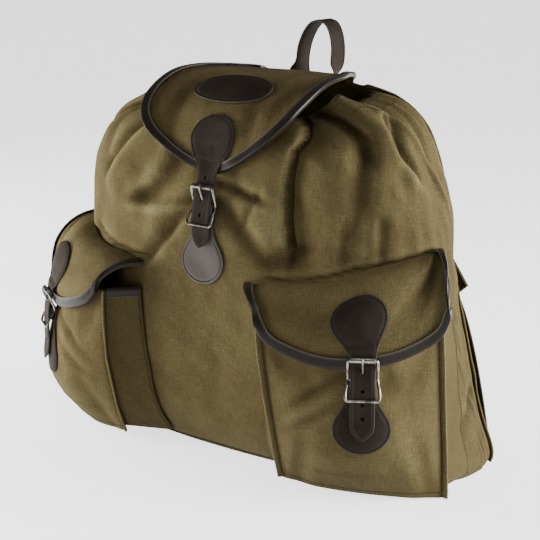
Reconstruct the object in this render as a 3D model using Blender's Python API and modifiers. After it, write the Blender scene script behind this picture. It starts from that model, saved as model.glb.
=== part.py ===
"""Hunting rucksack in olive canvas with dark leather trim, modelled piece by piece.

Units are metres and +Z is up. The front faces -Y, the wearer's back lies against the +Y side,
and the bag stands on its base at z = 0 with its middle at the origin.
"""

import math

import bmesh
import bpy
from mathutils import Matrix, Vector

# Materials' thicknesses and the clearance that sewn layers keep
CANVAS = 0.0020
LEATHER = 0.0022
BINDING = 0.0016
PADDING = 0.0070
GAP = 0.0003
BINDING_GAP = 0.0004
RIM_GAP = 0.0007
SEAT = 0.0006

# Each row is a ring round the bag, from the base to the gathered mouth
BODY_COLUMNS = ("z_front", "z_back", "half_width", "y_front", "y_back", "n_front", "n_back", "y_widest")
BODY_RINGS = (
    (0.0026, 0.0026, 0.247, -0.030, 0.084, 2.3, 7.0, 0.058),
    (0.0026, 0.0026, 0.258, -0.044, 0.093, 2.3, 8.0, 0.060),
    (0.0080, 0.0080, 0.262, -0.052, 0.096, 2.3, 8.0, 0.062),
    (0.0180, 0.0180, 0.263, -0.060, 0.098, 2.4, 8.0, 0.065),
    (0.0420, 0.0420, 0.256, -0.073, 0.098, 2.6, 7.0, 0.064),
    (0.0800, 0.0800, 0.245, -0.083, 0.098, 2.7, 6.5, 0.062),
    (0.1300, 0.1300, 0.234, -0.089, 0.098, 2.8, 6.0, 0.058),
    (0.1800, 0.1800, 0.228, -0.090, 0.098, 2.8, 4.5, 0.050),
    (0.2250, 0.2250, 0.234, -0.085, 0.098, 2.6, 3.0, 0.034),
    (0.2620, 0.2620, 0.237, -0.080, 0.098, 2.4, 2.8, 0.024),
    (0.3000, 0.3000, 0.229, -0.076, 0.098, 2.6, 3.0, 0.022),
    (0.3300, 0.3320, 0.216, -0.070, 0.098, 2.9, 3.2, 0.024),
    (0.3500, 0.3600, 0.204, -0.062, 0.098, 3.0, 3.0, 0.027),
    (0.3610, 0.3810, 0.189, -0.054, 0.098, 2.9, 2.8, 0.030),
    (0.3670, 0.3930, 0.170, -0.047, 0.098, 2.6, 2.7, 0.034),
    (0.3700, 0.4000, 0.153, -0.041, 0.097, 2.4, 2.6, 0.036),
    (0.3730, 0.4050, 0.126, -0.036, 0.093, 2.2, 2.6, 0.036),
)
RING_RISE_POWER = 1.5  # how quickly a tilted ring climbs from its front to its back
RINGS = len(BODY_RINGS) - 1

# Folds pressed into the canvas: place on the bag, half sizes, and depth (negative stands proud)
FOLD_COLUMNS = ("angle", "height", "half_angle", "half_height", "depth", "lean")
BODY_FOLDS = (
    (-90.0, 0.1300, 17.0, 0.110, 0.0100, 0.0),
    (-90.0, 0.3280, 16.0, 0.045, 0.0155, 0.0),
    (-118.0, 0.3180, 9.0, 0.040, 0.0100, 90.0),
    (-64.0, 0.3180, 8.0, 0.045, 0.0090, -90.0),
    (-40.0, 0.3450, 5.0, 0.090, 0.0130, 60.0),
    (-18.0, 0.3700, 6.0, 0.055, 0.0070, 60.0),
    (4.0, 0.3600, 6.0, 0.070, 0.0060, 60.0),
    (-140.0, 0.3550, 6.0, 0.070, 0.0090, -60.0),
    (-165.0, 0.3700, 6.0, 0.060, 0.0070, -60.0),
)
GATHER_COUNT = 20
GATHER_DEPTH = 0.0035
GATHER_START = 0.78  # share of the height where the drawn-in pleats begin

SEAM_ANGLE = 38.0  # where the wrap's edge meets the back panel
SEAM_LAP = 2.4
BACK_LIFT = CANVAS + GAP + 0.0001
BACK_TURNS = (42.0, 47.0, 58.0, 90.0)
BACK_FIRST_RING = 2
WRAP_COLUMNS = 17

# Lid, from its sewn edge on the back panel over the top to its front tip
LID_COLUMNS = ("y", "z", "half_width", "side_forward", "side_drop")
LID_STATIONS = (
    (0.1034, 0.3870, 0.062, 0.000, 0.000),
    (0.1034, 0.4020, 0.064, 0.000, 0.000),
    (0.0968, 0.4125, 0.070, 0.000, 0.001),
    (0.0720, 0.4168, 0.082, 0.000, 0.001),
    (0.0360, 0.4185, 0.099, 0.000, 0.001),
    (0.0000, 0.4158, 0.107, 0.000, 0.001),
    (-0.0260, 0.4065, 0.109, 0.000, 0.001),
    (-0.0460, 0.3930, 0.107, 0.002, 0.000),
    (-0.0580, 0.3790, 0.101, 0.006, 0.000),
    (-0.0645, 0.3620, 0.086, 0.010, 0.000),
    (-0.0660, 0.3470, 0.066, 0.010, 0.000),
    (-0.0655, 0.3340, 0.044, 0.008, 0.000),
    (-0.0645, 0.3240, 0.023, 0.004, 0.000),
    (-0.0640, 0.3170, 0.000, 0.000, 0.000),
)
LID_RIM = (0.0, 1.0, 2.0, 3.0, 4.0, 5.0, 6.0, 6.9, 7.8, 8.6, 9.4, 10.2, 11.0, 11.7, 12.4)
LID_TIP = 13.0
LID_HEART = 0.75  # how far along the lid the rows from the rim run in to its middle
LID_ROWS = 4
BINDING_REACH = 0.0100

OVAL_HALF = (0.053, 0.024)
OVAL_STATION = 6.15
OVAL_STEP = 0.0245  # length of lid between two stations there

# Side pockets, in their own frame: along the bag's corner, out from it, and up
POCKET_ANGLE = math.radians(33.0)
POCKET_RIM = 0.183
POCKET_FLANGE = 0.005
POCKET_EDGE_COLUMNS = ("z", "inner_along", "inner_out", "outer_along", "outer_out")
POCKET_EDGES = (
    (0.0090, 0.102, 0.054, 0.270, 0.078),
    (0.0400, 0.098, 0.064, 0.269, 0.079),
    (0.1000, 0.090, 0.076, 0.266, 0.080),
    (0.1500, 0.084, 0.080, 0.264, 0.080),
    (0.1830, 0.082, 0.080, 0.262, 0.078),
)
POCKET_BULGE = (
    (0.0040, 0.0170), (0.0300, 0.0380), (0.0550, 0.0465), (0.0810, 0.0465),
    (0.1000, 0.0430), (0.1386, 0.0350), (0.1530, 0.0298), (0.1830, 0.0240),
)
POCKET_ROOT_X = ((0.009, 0.072), (0.060, 0.080), (0.183, 0.086))
POCKET_ROOT_OUTER_ANGLE = ((0.009, -11.0), (0.183, 3.0))
POCKET_FLOOR = 0.0110
POCKET_SEAT = 0.0032
POCKET_SEAM_GAP = 0.0015  # the front leans at its seams, so its wall is deeper there

# Pocket flap: its sewn line on the bag and its free edge, from the inner to the outer side
FLAP_COLUMNS = ("top_along", "top_z", "top_lift", "edge_along", "edge_out", "edge_z")
FLAP_STATIONS = (
    (0.0630, 0.2085, 0.0050, 0.0790, 0.0880, 0.1830),
    (0.0800, 0.2125, 0.0040, 0.0900, 0.0950, 0.1690),
    (0.1050, 0.2163, 0.0030, 0.1100, 0.1040, 0.1600),
    (0.1350, 0.2196, 0.0030, 0.1370, 0.1115, 0.1525),
    (0.1650, 0.2261, 0.0030, 0.1640, 0.1154, 0.1505),
    (0.1950, 0.2378, 0.0030, 0.1920, 0.1160, 0.1530),
    (0.2250, 0.2461, 0.0030, 0.2200, 0.1120, 0.1580),
    (0.2480, 0.2504, 0.0030, 0.2450, 0.1050, 0.1680),
    (0.2545, 0.2510, 0.0040, 0.2640, 0.1020, 0.1810),
    (0.2600, 0.2515, 0.0050, 0.2720, 0.0990, 0.2000),
)
FLAP_SIDE_STEPS = 5
FLAP_EDGE_STEPS = 12
FLAP_ROWS = 4
FLAP_HEART = (0.16, 0.84)
FLAP_SLANT = (0.15, 0.65)  # how far the cloth has gone sideways over its shoulder, inside and outside

# Fastenings. Local places are metres across, down from the buckle's bar, and out from the canvas
STRAP_HALF = 0.0125
TEAR_COLUMNS = ("from_round_end", "half_width")
TEAR_OUTLINE = (
    (0.000, 0.0000),
    (0.001, 0.0075),
    (0.004, 0.0150),
    (0.009, 0.0220),
    (0.015, 0.0268),
    (0.023, 0.0288),
    (0.031, 0.0273),
    (0.039, 0.0222),
    (0.047, 0.0162),
    (0.054, 0.0131),
    (0.062, 0.0125),
)
STRAP_RUN_COLUMNS = ("down", "underside_out")
STRAP_RUN = (
    (-0.0200, 0.0089),
    (-0.0110, 0.0096),
    (-0.0040, 0.0098),
    (0.0040, 0.0094),
    (0.0120, 0.0084),
    (0.0210, 0.0074),
    (0.0300, 0.0056),
    (0.0380, 0.0040),
)
STRAP_END_OUT = 0.0035
POINT_COLUMNS = ("before_the_tip", "half_width")
STRAP_POINT = ((0.0165, 0.0125), (0.0095, 0.0110), (0.0040, 0.0055), (0.0000, 0.0012))
BAR_OUT = 0.0047
ROLLER_DOWN, ROLLER_OUT = -0.0200, 0.0145
ROLLER_RADIUS, ROLLER_BORE, ROLLER_HALF = 0.0029, 0.0017, 0.0128
WIRE = 0.0013
WIRE_COLUMNS = ("across", "down", "out")
FRAME_WIRE = (
    (0.0134, -0.0200, 0.0145),
    (0.0149, -0.0186, 0.0140),
    (0.0152, -0.0110, 0.0103),
    (0.0149, -0.0040, 0.0058),
    (0.0147, 0.0000, 0.0047),
    (0.0153, 0.0040, 0.0059),
    (0.0167, 0.0100, 0.0092),
    (0.0172, 0.0160, 0.0109),
    (0.0168, 0.0195, 0.0112),
    (0.0154, 0.0210, 0.0112),
)
CHAPE_RADIUS = 0.0017
CHAPE_SLOT = (0.0019, 0.0052, 0.0100)
PRONG_RADIUS = 0.0011
PRONG_RING = 0.0029
PRONG_PASSAGE = 0.0017
PRONG_WRAP = (-180.0, -140.0, -100.0, -60.0, -20.0, 20.0, 50.0, 75.0)
PRONG_COLUMNS = ("down", "out")
PRONG = (
    (-0.0035, 0.0088),
    (-0.0075, 0.0110),
    (-0.0115, 0.0137),
    (-0.0155, 0.0168),
    (-0.0192, 0.0190),
    (-0.0225, 0.0190),
)
HOLE_RADIUS = 0.0019

# Leather loop at the top of the back panel: middle line, and how far it has turned from flat
HANDLE_COLUMNS = ("x", "y", "z", "turned")
HANDLE_LINE = (
    (-0.0250, 0.1060, 0.3800, 0.00),
    (-0.0250, 0.1062, 0.3920, 0.00),
    (-0.0250, 0.1125, 0.4020, 0.35),
    (-0.0250, 0.1165, 0.4120, 0.75),
    (-0.0248, 0.1182, 0.4220, 1.00),
    (-0.0235, 0.1184, 0.4400, 1.00),
    (-0.0180, 0.1188, 0.4560, 1.00),
    (-0.0100, 0.1193, 0.4660, 1.00),
    (0.0000, 0.1195, 0.4690, 1.00),
)
HANDLE_LEAN_COLUMNS = ("z", "shift to the right")
HANDLE_LEAN = ((0.0, 0.003), (0.400, 0.003), (0.469, 0.011))
HANDLE_THICKNESS = 0.0026

# Shoulder straps on the right; the left ones mirror them
STRAP_COLUMNS = ("x", "y", "z", "half_width")
SHOULDER_PAD = (
    (0.0640, 0.1034, 0.3780, 0.022),
    (0.0720, 0.1064, 0.3480, 0.024),
    (0.0960, 0.1190, 0.2980, 0.025),
    (0.1300, 0.1240, 0.2480, 0.025),
    (0.1620, 0.1235, 0.2080, 0.025),
    (0.1900, 0.1205, 0.1740, 0.024),
)
LOWER_STRAP = (
    (0.1740, 0.1174, 0.1940, 0.0125),
    (0.1960, 0.1128, 0.1640, 0.0125),
    (0.2120, 0.1078, 0.1300, 0.0125),
    (0.2250, 0.1042, 0.0900, 0.0125),
    (0.2350, 0.1019, 0.0500, 0.0125),
    (0.2430, 0.1002, 0.0140, 0.0125),
)

# Colours in linear light
COLOURS = {
    "canvas": ((0.115, 0.085, 0.033), 0.85, 0.0),
    "leather": ((0.022, 0.014, 0.011), 0.45, 0.0),
    "nickel": ((0.420, 0.400, 0.360), 0.30, 1.0),
}


def clear_scene():
    for thing in list(bpy.data.objects):
        bpy.data.objects.remove(thing)


def make_finish(name):
    colour, roughness, metallic = COLOURS[name]
    finish = bpy.data.materials.new(name)
    finish.use_nodes = True
    shader = finish.node_tree.nodes["Principled BSDF"]
    shader.inputs["Base Color"].default_value = (*colour, 1.0)
    shader.inputs["Roughness"].default_value = roughness
    shader.inputs["Metallic"].default_value = metallic
    finish.diffuse_color = (*colour, 1.0)
    return finish


def add_object(name, mesh, finish):
    thing = bpy.data.objects.new(name, mesh)
    mesh.materials.append(finish)
    BAG.objects.link(thing)
    mesh.shade_smooth()
    mesh.set_sharp_from_angle(angle=math.radians(40.0))
    return thing


def row_at(table, key):
    """One row of a table at a value of its first column, with straight steps between rows."""
    if key <= table[0][0]:
        return table[0]
    for low, high in zip(table, table[1:]):
        if key <= high[0]:
            share = (key - low[0]) / (high[0] - low[0])
            return tuple(a + (b - a) * share for a, b in zip(low, high))
    return table[-1]


def table_at(table, place):
    """One row of a table at a place counted in rows, on a smooth curve through the rows."""
    last = len(table) - 1
    place = min(max(place, 0.0), float(last))
    first = min(int(place), last - 1)
    t = place - first
    before = table[max(first - 1, 0)]
    start, end = table[first], table[first + 1]
    after = table[min(first + 2, last)]
    row = []
    for a, b, c, d in zip(before, start, end, after):
        linear = (c - a) * t
        square = (2 * a - 5 * b + 4 * c - d) * t * t
        cube = (3 * b - a - 3 * c + d) * t**3
        row.append(0.5 * (2 * b + linear + square + cube))
    return tuple(row)


def ring_point(row, angle):
    """A point of one body ring. Angle 0 is the right side and -90 degrees the front."""
    z_front, z_back, half_width, y_front, y_back, n_front, n_back, y_widest = row
    c, s = math.cos(angle), math.sin(angle)
    power = n_front if s < 0 else n_back
    reach = (abs(c) ** power + abs(s) ** power) ** (-1.0 / power)
    depth = y_widest - y_front if s < 0 else y_back - y_widest
    y = y_widest + depth * s * reach
    along = (y - y_front) / (y_back - y_front)
    climb = 1.0 - (1.0 - min(max(along, 0.0), 1.0)) ** RING_RISE_POWER
    return Vector((half_width * c * reach, y, z_front + (z_back - z_front) * climb))


def fold_depth(angle_degrees, height, place):
    """How far the canvas is pressed in at a place, summed over the folds and the gathers."""
    depth = 0.0
    for angle, level, half_angle, half_height, amount, lean in BODY_FOLDS:
        turned = (angle_degrees - angle + 180.0) % 360.0 - 180.0
        turned -= lean * (height - level)
        near = (turned / half_angle) ** 2 + ((height - level) / half_height) ** 2
        depth += amount * math.exp(-1.2 * near)
    gather = max(0.0, (place - GATHER_START) / (1.0 - GATHER_START))
    depth += GATHER_DEPTH * gather * math.cos(math.radians(angle_degrees * GATHER_COUNT))
    return depth


def folded_point(angle_degrees, place):
    """A point of the bag's outer surface. Place runs from 0 at the base to 1 at the mouth."""
    row = table_at(BODY_RINGS, place * RINGS)
    angle = math.radians(angle_degrees)
    point = ring_point(row, angle)
    step = math.radians(0.5)
    along = ring_point(row, angle + step) - ring_point(row, angle - step)
    outward = along.cross(Vector((0.0, 0.0, 1.0))).normalized()
    return point - outward * fold_depth(angle_degrees, point.z, place)


def body_point(angle_degrees, place, lift=0.0):
    """The same, raised off the canvas along its normal."""
    point = folded_point(angle_degrees, place)
    if not lift:
        return point
    turn, rise = 0.5, 0.003
    along = folded_point(angle_degrees + turn, place) - folded_point(angle_degrees - turn, place)
    up = folded_point(angle_degrees, min(place + rise, 1.0)) - folded_point(angle_degrees, place - rise)
    return point + along.cross(up).normalized() * lift


def body_place_at(height):
    """The place on the body whose ring lies at a height, below the tilted rings."""
    low, high = 1.0 / RINGS, 12.0 / RINGS
    for _ in range(24):
        middle = (low + high) / 2
        if table_at(BODY_RINGS, middle * RINGS)[0] < height:
            low = middle
        else:
            high = middle
    return (low + high) / 2


def front_angle_at(x, place):
    """The angle on the front where the body is x to the side of its middle."""
    low, high = -180.0, 0.0
    for _ in range(24):
        middle = (low + high) / 2
        if body_point(middle, place).x < x:
            low = middle
        else:
            high = middle
    return (low + high) / 2


def body_front_at(x, height, lift):
    place = body_place_at(height)
    return body_point(front_angle_at(x, place), place, lift)


def grid_form(place, columns, rows, is_turned=False):
    """An open grid of triangles laid out by place(u, v). A turned one splits its first row the other way."""
    form = bmesh.new()
    bmesh.ops.create_grid(form, x_segments=columns, y_segments=rows, size=0.5)
    first = [face for face in form.faces if (face.calc_center_median().y + 0.5) * rows < 1.0]
    if is_turned:
        bmesh.ops.triangulate(form, faces=first, quad_method="ALTERNATE")
    bmesh.ops.triangulate(form, faces=form.faces, quad_method="FIXED")
    for vertex in form.verts:
        vertex.co = place(vertex.co.x + 0.5, vertex.co.y + 0.5)
    bmesh.ops.remove_doubles(form, verts=form.verts, dist=0.00001)
    return form


def sheet(name, place, columns, rows, thickness, finish, side=-1.0, is_fold=False, is_left=False):
    """A grid laid out by place(u, v) and thickened; u across v has to point out of the bag."""
    form = grid_form(place, columns, rows, is_fold)
    if is_left:
        bmesh.ops.scale(form, verts=form.verts, vec=(-1.0, 1.0, 1.0))
        bmesh.ops.reverse_faces(form, faces=form.faces)
    mesh = bpy.data.meshes.new(name)
    form.to_mesh(mesh)
    form.free()
    thing = add_object(name, mesh, finish)
    shell = thing.modifiers.new("Thickness", "SOLIDIFY")
    shell.thickness = thickness
    shell.offset = side
    return thing


def grid_place(grid):
    """Reads grid[column][row] by u and v."""
    columns, rows = len(grid) - 1, len(grid[0]) - 1

    def place(u, v):
        return grid[round(u * columns)][round(v * rows)]

    return place


def grid_sheet(name, grid, thickness, finish, **options):
    """The same from rows of ready points."""
    return sheet(name, grid_place(grid), len(grid) - 1, len(grid[0]) - 1, thickness, finish, **options)


def point_key(point):
    return tuple(round(part, 5) for part in point)


def grid_normals(grid):
    """The sheet's own normals, looked up by point."""
    form = grid_form(grid_place(grid), len(grid) - 1, len(grid[0]) - 1)
    form.normal_update()
    normals = {point_key(vertex.co): vertex.normal.copy() for vertex in form.verts}
    form.free()
    return normals


def flip(point):
    return Vector((-point.x, point.y, point.z))


def rows_from_rim(surface, rim, hearts, rows):
    """Points from a rim inwards: the rim, a row where the binding ends, then even steps."""
    grid = []
    for edge, heart in zip(rim, hearts):
        start = surface(*edge)

        def inside(share):
            return surface(*[a + (b - a) * share for a, b in zip(edge, heart)])

        low, first = 0.0, 0.9
        for _ in range(16):
            middle = (low + first) / 2
            if (inside(middle) - start).length < BINDING_REACH:
                low = middle
            else:
                first = middle
        column = [start] + [inside(first + (1.0 - first) * row / (rows - 1)) for row in range(rows)]
        grid.append(column)
    return grid


def binding(name, grid, thickness, finish, skipped=0, gap=BINDING_GAP, is_left=False):
    """Leather folded round the rim of a sheet, from the sheet's first inner row over and back."""
    normals = grid_normals(grid)
    strip = []
    for column in grid[skipped : len(grid) - skipped]:
        edge, inner = column[0], column[1]
        edge_out, inner_out = normals[point_key(edge)], normals[point_key(inner)]
        past = (edge - inner).normalized() * gap
        below = -thickness - gap
        strip.append(
            [
                inner + inner_out * gap,
                edge + edge_out * gap + past,
                edge + edge_out * below + past,
                inner + inner_out * below,
            ]
        )
    return grid_sheet(name, strip, BINDING, finish, is_fold=True, is_left=is_left)


def add_cutter(cutter):
    """Moves a helper solid out of the bag's collection and hides it."""
    for collection in list(cutter.users_collection):
        collection.objects.unlink(cutter)
    CUTTERS.objects.link(cutter)
    cutter.hide_render = True
    cutter.display_type = "WIRE"
    return cutter


def combine(thing, helper, operation):
    step = thing.modifiers.new(operation.title(), "BOOLEAN")
    step.operation = operation
    step.solver = "EXACT"
    step.object = add_cutter(helper)


def tube(name, points, radius, finish, closed=False):
    """A wire through points, made into one closed mesh."""
    route = bpy.data.curves.new(name, "CURVE")
    route.dimensions = "3D"
    route.bevel_depth = radius
    route.bevel_resolution = 1
    route.use_fill_caps = not closed
    line = route.splines.new("POLY")
    line.points.add(len(points) - 1)
    for knot, point in zip(line.points, points):
        knot.co = (*point, 1.0)
    line.use_cyclic_u = closed
    wire = bpy.data.objects.new(name, route)
    bpy.context.scene.collection.objects.link(wire)
    bpy.context.view_layer.update()
    graph = bpy.context.evaluated_depsgraph_get()
    mesh = bpy.data.meshes.new_from_object(wire.evaluated_get(graph))
    bpy.data.objects.remove(wire)
    form = bmesh.new()
    form.from_mesh(mesh)
    bmesh.ops.remove_doubles(form, verts=form.verts, dist=0.00001)
    bmesh.ops.recalc_face_normals(form, faces=form.faces)
    form.to_mesh(mesh)
    form.free()
    mesh.materials.clear()
    return add_object(name, mesh, finish)


def build_body(canvas):
    """The wrap round front and sides, the back panel lapped over it, and the flat base."""

    half = [(SEAM_ANGLE - SEAM_LAP + 90.0) * step / WRAP_COLUMNS for step in range(WRAP_COLUMNS + 1)]
    half.append(SEAM_ANGLE + 90.0)
    turns = [-90.0 - turn for turn in reversed(half[1:])] + [-90.0 + turn for turn in half]
    wrap = [[body_point(turn, ring / RINGS) for ring in range(RINGS + 1)] for turn in turns]
    grid_sheet("body_wrap", wrap, CANVAS, canvas)

    half = [SEAM_ANGLE - SEAM_LAP, SEAM_ANGLE, *BACK_TURNS]
    turns = half + [180.0 - turn for turn in reversed(half[:-1])]
    back = []
    for turn in turns:
        back.append([body_point(turn, ring / RINGS, BACK_LIFT) for ring in range(BACK_FIRST_RING, RINGS + 1)])
    grid_sheet("back_panel", back, CANVAS, canvas)
    build_base(canvas)


def build_base(canvas):
    """The base panel lies flat under the turned-in lower edge of the wrap."""
    count = 30
    curve = bpy.data.curves.new("base_panel", "CURVE")
    curve.dimensions = "2D"
    curve.fill_mode = "BOTH"
    curve.extrude = CANVAS / 2
    line = curve.splines.new("POLY")
    line.points.add(count - 1)
    for step, knot in enumerate(line.points):
        ring = ring_point(BODY_RINGS[1], math.tau * step / count)
        knot.co = (ring.x, ring.y, CANVAS / 2, 1.0)
    line.use_cyclic_u = True
    panel = bpy.data.objects.new("base_panel", curve)
    bpy.context.scene.collection.objects.link(panel)
    bpy.context.view_layer.update()
    graph = bpy.context.evaluated_depsgraph_get()
    mesh = bpy.data.meshes.new_from_object(panel.evaluated_get(graph))
    bpy.data.objects.remove(panel)
    form = bmesh.new()
    form.from_mesh(mesh)
    bmesh.ops.remove_doubles(form, verts=form.verts, dist=0.00001)
    bmesh.ops.translate(form, verts=form.verts, vec=(0.0, 0.0, -min(v.co.z for v in form.verts)))
    bmesh.ops.recalc_face_normals(form, faces=form.faces)
    form.to_mesh(mesh)
    form.free()
    mesh.materials.clear()
    add_object("base_panel", mesh, canvas)


def lid_point(x, station, lift=0.0):
    """A point of the lid's outer surface, x to the side of its middle at a table place."""
    y, z, half_width, forward, drop = table_at(LID_STATIONS, station)
    step = 0.05
    ahead, behind = table_at(LID_STATIONS, station + step), table_at(LID_STATIONS, station - step)
    run = Vector((0.0, ahead[0] - behind[0], ahead[1] - behind[1])).normalized()
    outward = Vector((0.0, run.z, -run.y))
    across = x / max(half_width, 0.004)
    point = Vector((x, y - forward * across * across, z - drop * across * across))
    return point + outward * lift


def build_lid(canvas, leather):
    """The lid curves over the mouth as one sheet, its free edge bound in leather."""
    right = [(table_at(LID_STATIONS, station)[2], station) for station in LID_RIM]
    left = [(-x, station) for x, station in right]
    rim = left + [(0.0, LID_TIP)] + right[::-1]
    hearts = [(0.0, station * LID_HEART) for _, station in rim]
    grid = rows_from_rim(lid_point, rim, hearts, LID_ROWS)
    grid_sheet("lid", grid, CANVAS, canvas)
    binding("lid_binding", grid, CANVAS, leather, skipped=2, gap=RIM_GAP)

    def oval(u, v):
        turn = math.tau * u
        x = OVAL_HALF[0] * (1.0 - v) * math.cos(turn)
        slide = OVAL_HALF[1] * (1.0 - v) * math.sin(turn)
        return lid_point(x, OVAL_STATION - slide / OVAL_STEP, SEAT + LEATHER)

    sheet("oval_patch", oval, 20, 2, LEATHER, leather)


def pocket_world(along, out, z):
    """From a pocket's own frame to the bag's, on the right-hand side."""
    c, s = math.cos(POCKET_ANGLE), math.sin(POCKET_ANGLE)
    return Vector((along * c + out * s, along * s - out * c - POCKET_BACK, z))


def pocket_front_point(across, z, lift=0.0):
    """The pocket's front panel. Across runs from 0 at the inner seam to 1 at the outer one."""
    _, inner_along, inner_out, outer_along, outer_out = row_at(POCKET_EDGES, z)
    along = inner_along + (outer_along - inner_along) * across
    out = inner_out + (outer_out - inner_out) * across
    side = min(abs(2 * across - 1), 1.0)
    out += row_at(POCKET_BULGE, z)[1] * (1.0 - side**2.3)
    return pocket_world(along, out + lift, z)


def build_pocket(side, canvas, leather):
    """One bellows pocket: a front with pinched seams and a gusset round its other three sides."""
    is_left = side == "left"
    flange = POCKET_FLANGE / 0.18
    front = []
    for step in range(11):
        across = -flange + step / 10 * (1 + 2 * flange)
        front.append([pocket_front_point(across, z) for z, _ in POCKET_BULGE])
    grid_sheet("pocket_front_" + side, front, CANVAS, canvas, is_left=is_left)

    def root(is_outer, z):
        """Where the gusset is sewn to the bag."""
        place = body_place_at(z)
        if is_outer:
            angle = row_at(POCKET_ROOT_OUTER_ANGLE, z)[1]
        else:
            angle = front_angle_at(row_at(POCKET_ROOT_X, z)[1], place)
        return body_point(angle, place, POCKET_SEAT)

    def floor_root(share):
        place = body_place_at(POCKET_FLOOR)
        start = front_angle_at(POCKET_ROOT_X[0][1], place)
        return body_point(start + (POCKET_ROOT_OUTER_ANGLE[0][1] - start) * share, place, POCKET_SEAT)

    def front_edge(across, z):
        return pocket_front_point(across, z, -CANVAS - POCKET_SEAM_GAP)

    heights = [POCKET_RIM - (POCKET_RIM - POCKET_FLOOR) * share for share in (0, 0.06, 0.25, 0.5, 0.75, 0.93)]
    path = [(root(False, z), front_edge(0.012, z)) for z in heights]
    for step in range(9):
        share = step / 8
        path.append((floor_root(share), front_edge(0.012 + 0.976 * share, POCKET_FLOOR)))
    path += [(root(True, z), front_edge(0.988, z)) for z in reversed(heights)]
    gusset = [[start.lerp(end, row / 2) for row in range(3)] for start, end in path]
    grid_sheet("pocket_gusset_" + side, gusset, CANVAS, canvas, is_left=is_left)

    for label, columns in (("inner", gusset[:2]), ("outer", gusset[:-3:-1])):
        edge, below = columns
        rim = []
        for row in range(5):
            share = 0.05 + 0.90 * row / 4
            top, low = edge[0].lerp(edge[-1], share), below[0].lerp(below[-1], share)
            rim.append([top, top + (low - top).normalized() * BINDING_REACH])
        if label == "inner":
            rim.reverse()
        binding("pocket_" + label + "_rim_" + side, rim, CANVAS, leather, is_left=is_left)


def pocket_local(point):
    """From the bag's frame to the right-hand pocket's own."""
    c, s = math.cos(POCKET_ANGLE), math.sin(POCKET_ANGLE)
    y = point.y + POCKET_BACK
    return Vector((point.x * c + y * s, point.x * s - y * c, point.z))


def flap_root(along, z, lift):
    """Where the flap is sewn: the bag's surface at a distance along the pocket's frame."""
    place = body_place_at(z)
    low, high = -89.0, 30.0
    for _ in range(24):
        middle = (low + high) / 2
        if pocket_local(body_point(middle, place)).x < along:
            low = middle
        else:
            high = middle
    return pocket_local(body_point(middle, place, lift))


def flap_table():
    """The flap's stations with their upper ends found on the bag."""
    return [(*flap_root(*row[:3]), *row[3:]) for row in FLAP_STATIONS]


def flap_point(across, down):
    """The pocket flap's outer surface: out from the bag, over the pocket's mouth and down."""
    row = table_at(FLAP_ENDS, across * (len(FLAP_ENDS) - 1))
    top, edge = Vector(row[:3]), Vector(row[3:])
    reach, fall = edge - top, top.z - edge.z
    slant = FLAP_SLANT[0] + FLAP_SLANT[1] * across**4
    shoulder = top + Vector((slant * reach.x, 0.66 * reach.y, 0.003))
    hip = edge + Vector((-0.10 * reach.x, 0.0, 0.55 * fall))
    a, b = 1.0 - down, down
    local = a**3 * top + 3 * a * a * b * shoulder + 3 * a * b * b * hip + b**3 * edge
    return pocket_world(*local)


def flap_lifted(across, down, lift):
    """The same, raised off the flap along its normal."""
    step = 0.01
    along = flap_point(across + step, down) - flap_point(across - step, down)
    fall = flap_point(across, min(down + step, 1.0)) - flap_point(across, max(down - step, 0.0))
    return flap_point(across, down) + fall.cross(along).normalized() * lift


def build_pocket_flap(side, canvas, leather):
    """The flap is sewn to the bag along its top and falls over the pocket's mouth."""
    is_left = side == "left"
    inner = [(0.0, step / FLAP_SIDE_STEPS) for step in range(FLAP_SIDE_STEPS)]
    edge = [(step / FLAP_EDGE_STEPS, 1.0) for step in range(FLAP_EDGE_STEPS + 1)]
    outer = [(1.0, 1.0 - (step + 1) / FLAP_SIDE_STEPS) for step in range(FLAP_SIDE_STEPS)]
    rim = inner + edge + outer
    low, high = FLAP_HEART
    hearts = [(low + (high - low) * number / (len(rim) - 1), 0.0) for number in range(len(rim))]
    grid = rows_from_rim(flap_point, rim, hearts, FLAP_ROWS)
    grid_sheet("pocket_flap_" + side, grid, CANVAS, canvas, is_left=is_left)
    binding("flap_binding_" + side, grid, CANVAS, leather, gap=RIM_GAP, is_left=is_left)


def tear_half(distance):
    return row_at(TEAR_OUTLINE, distance)[1]


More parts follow.
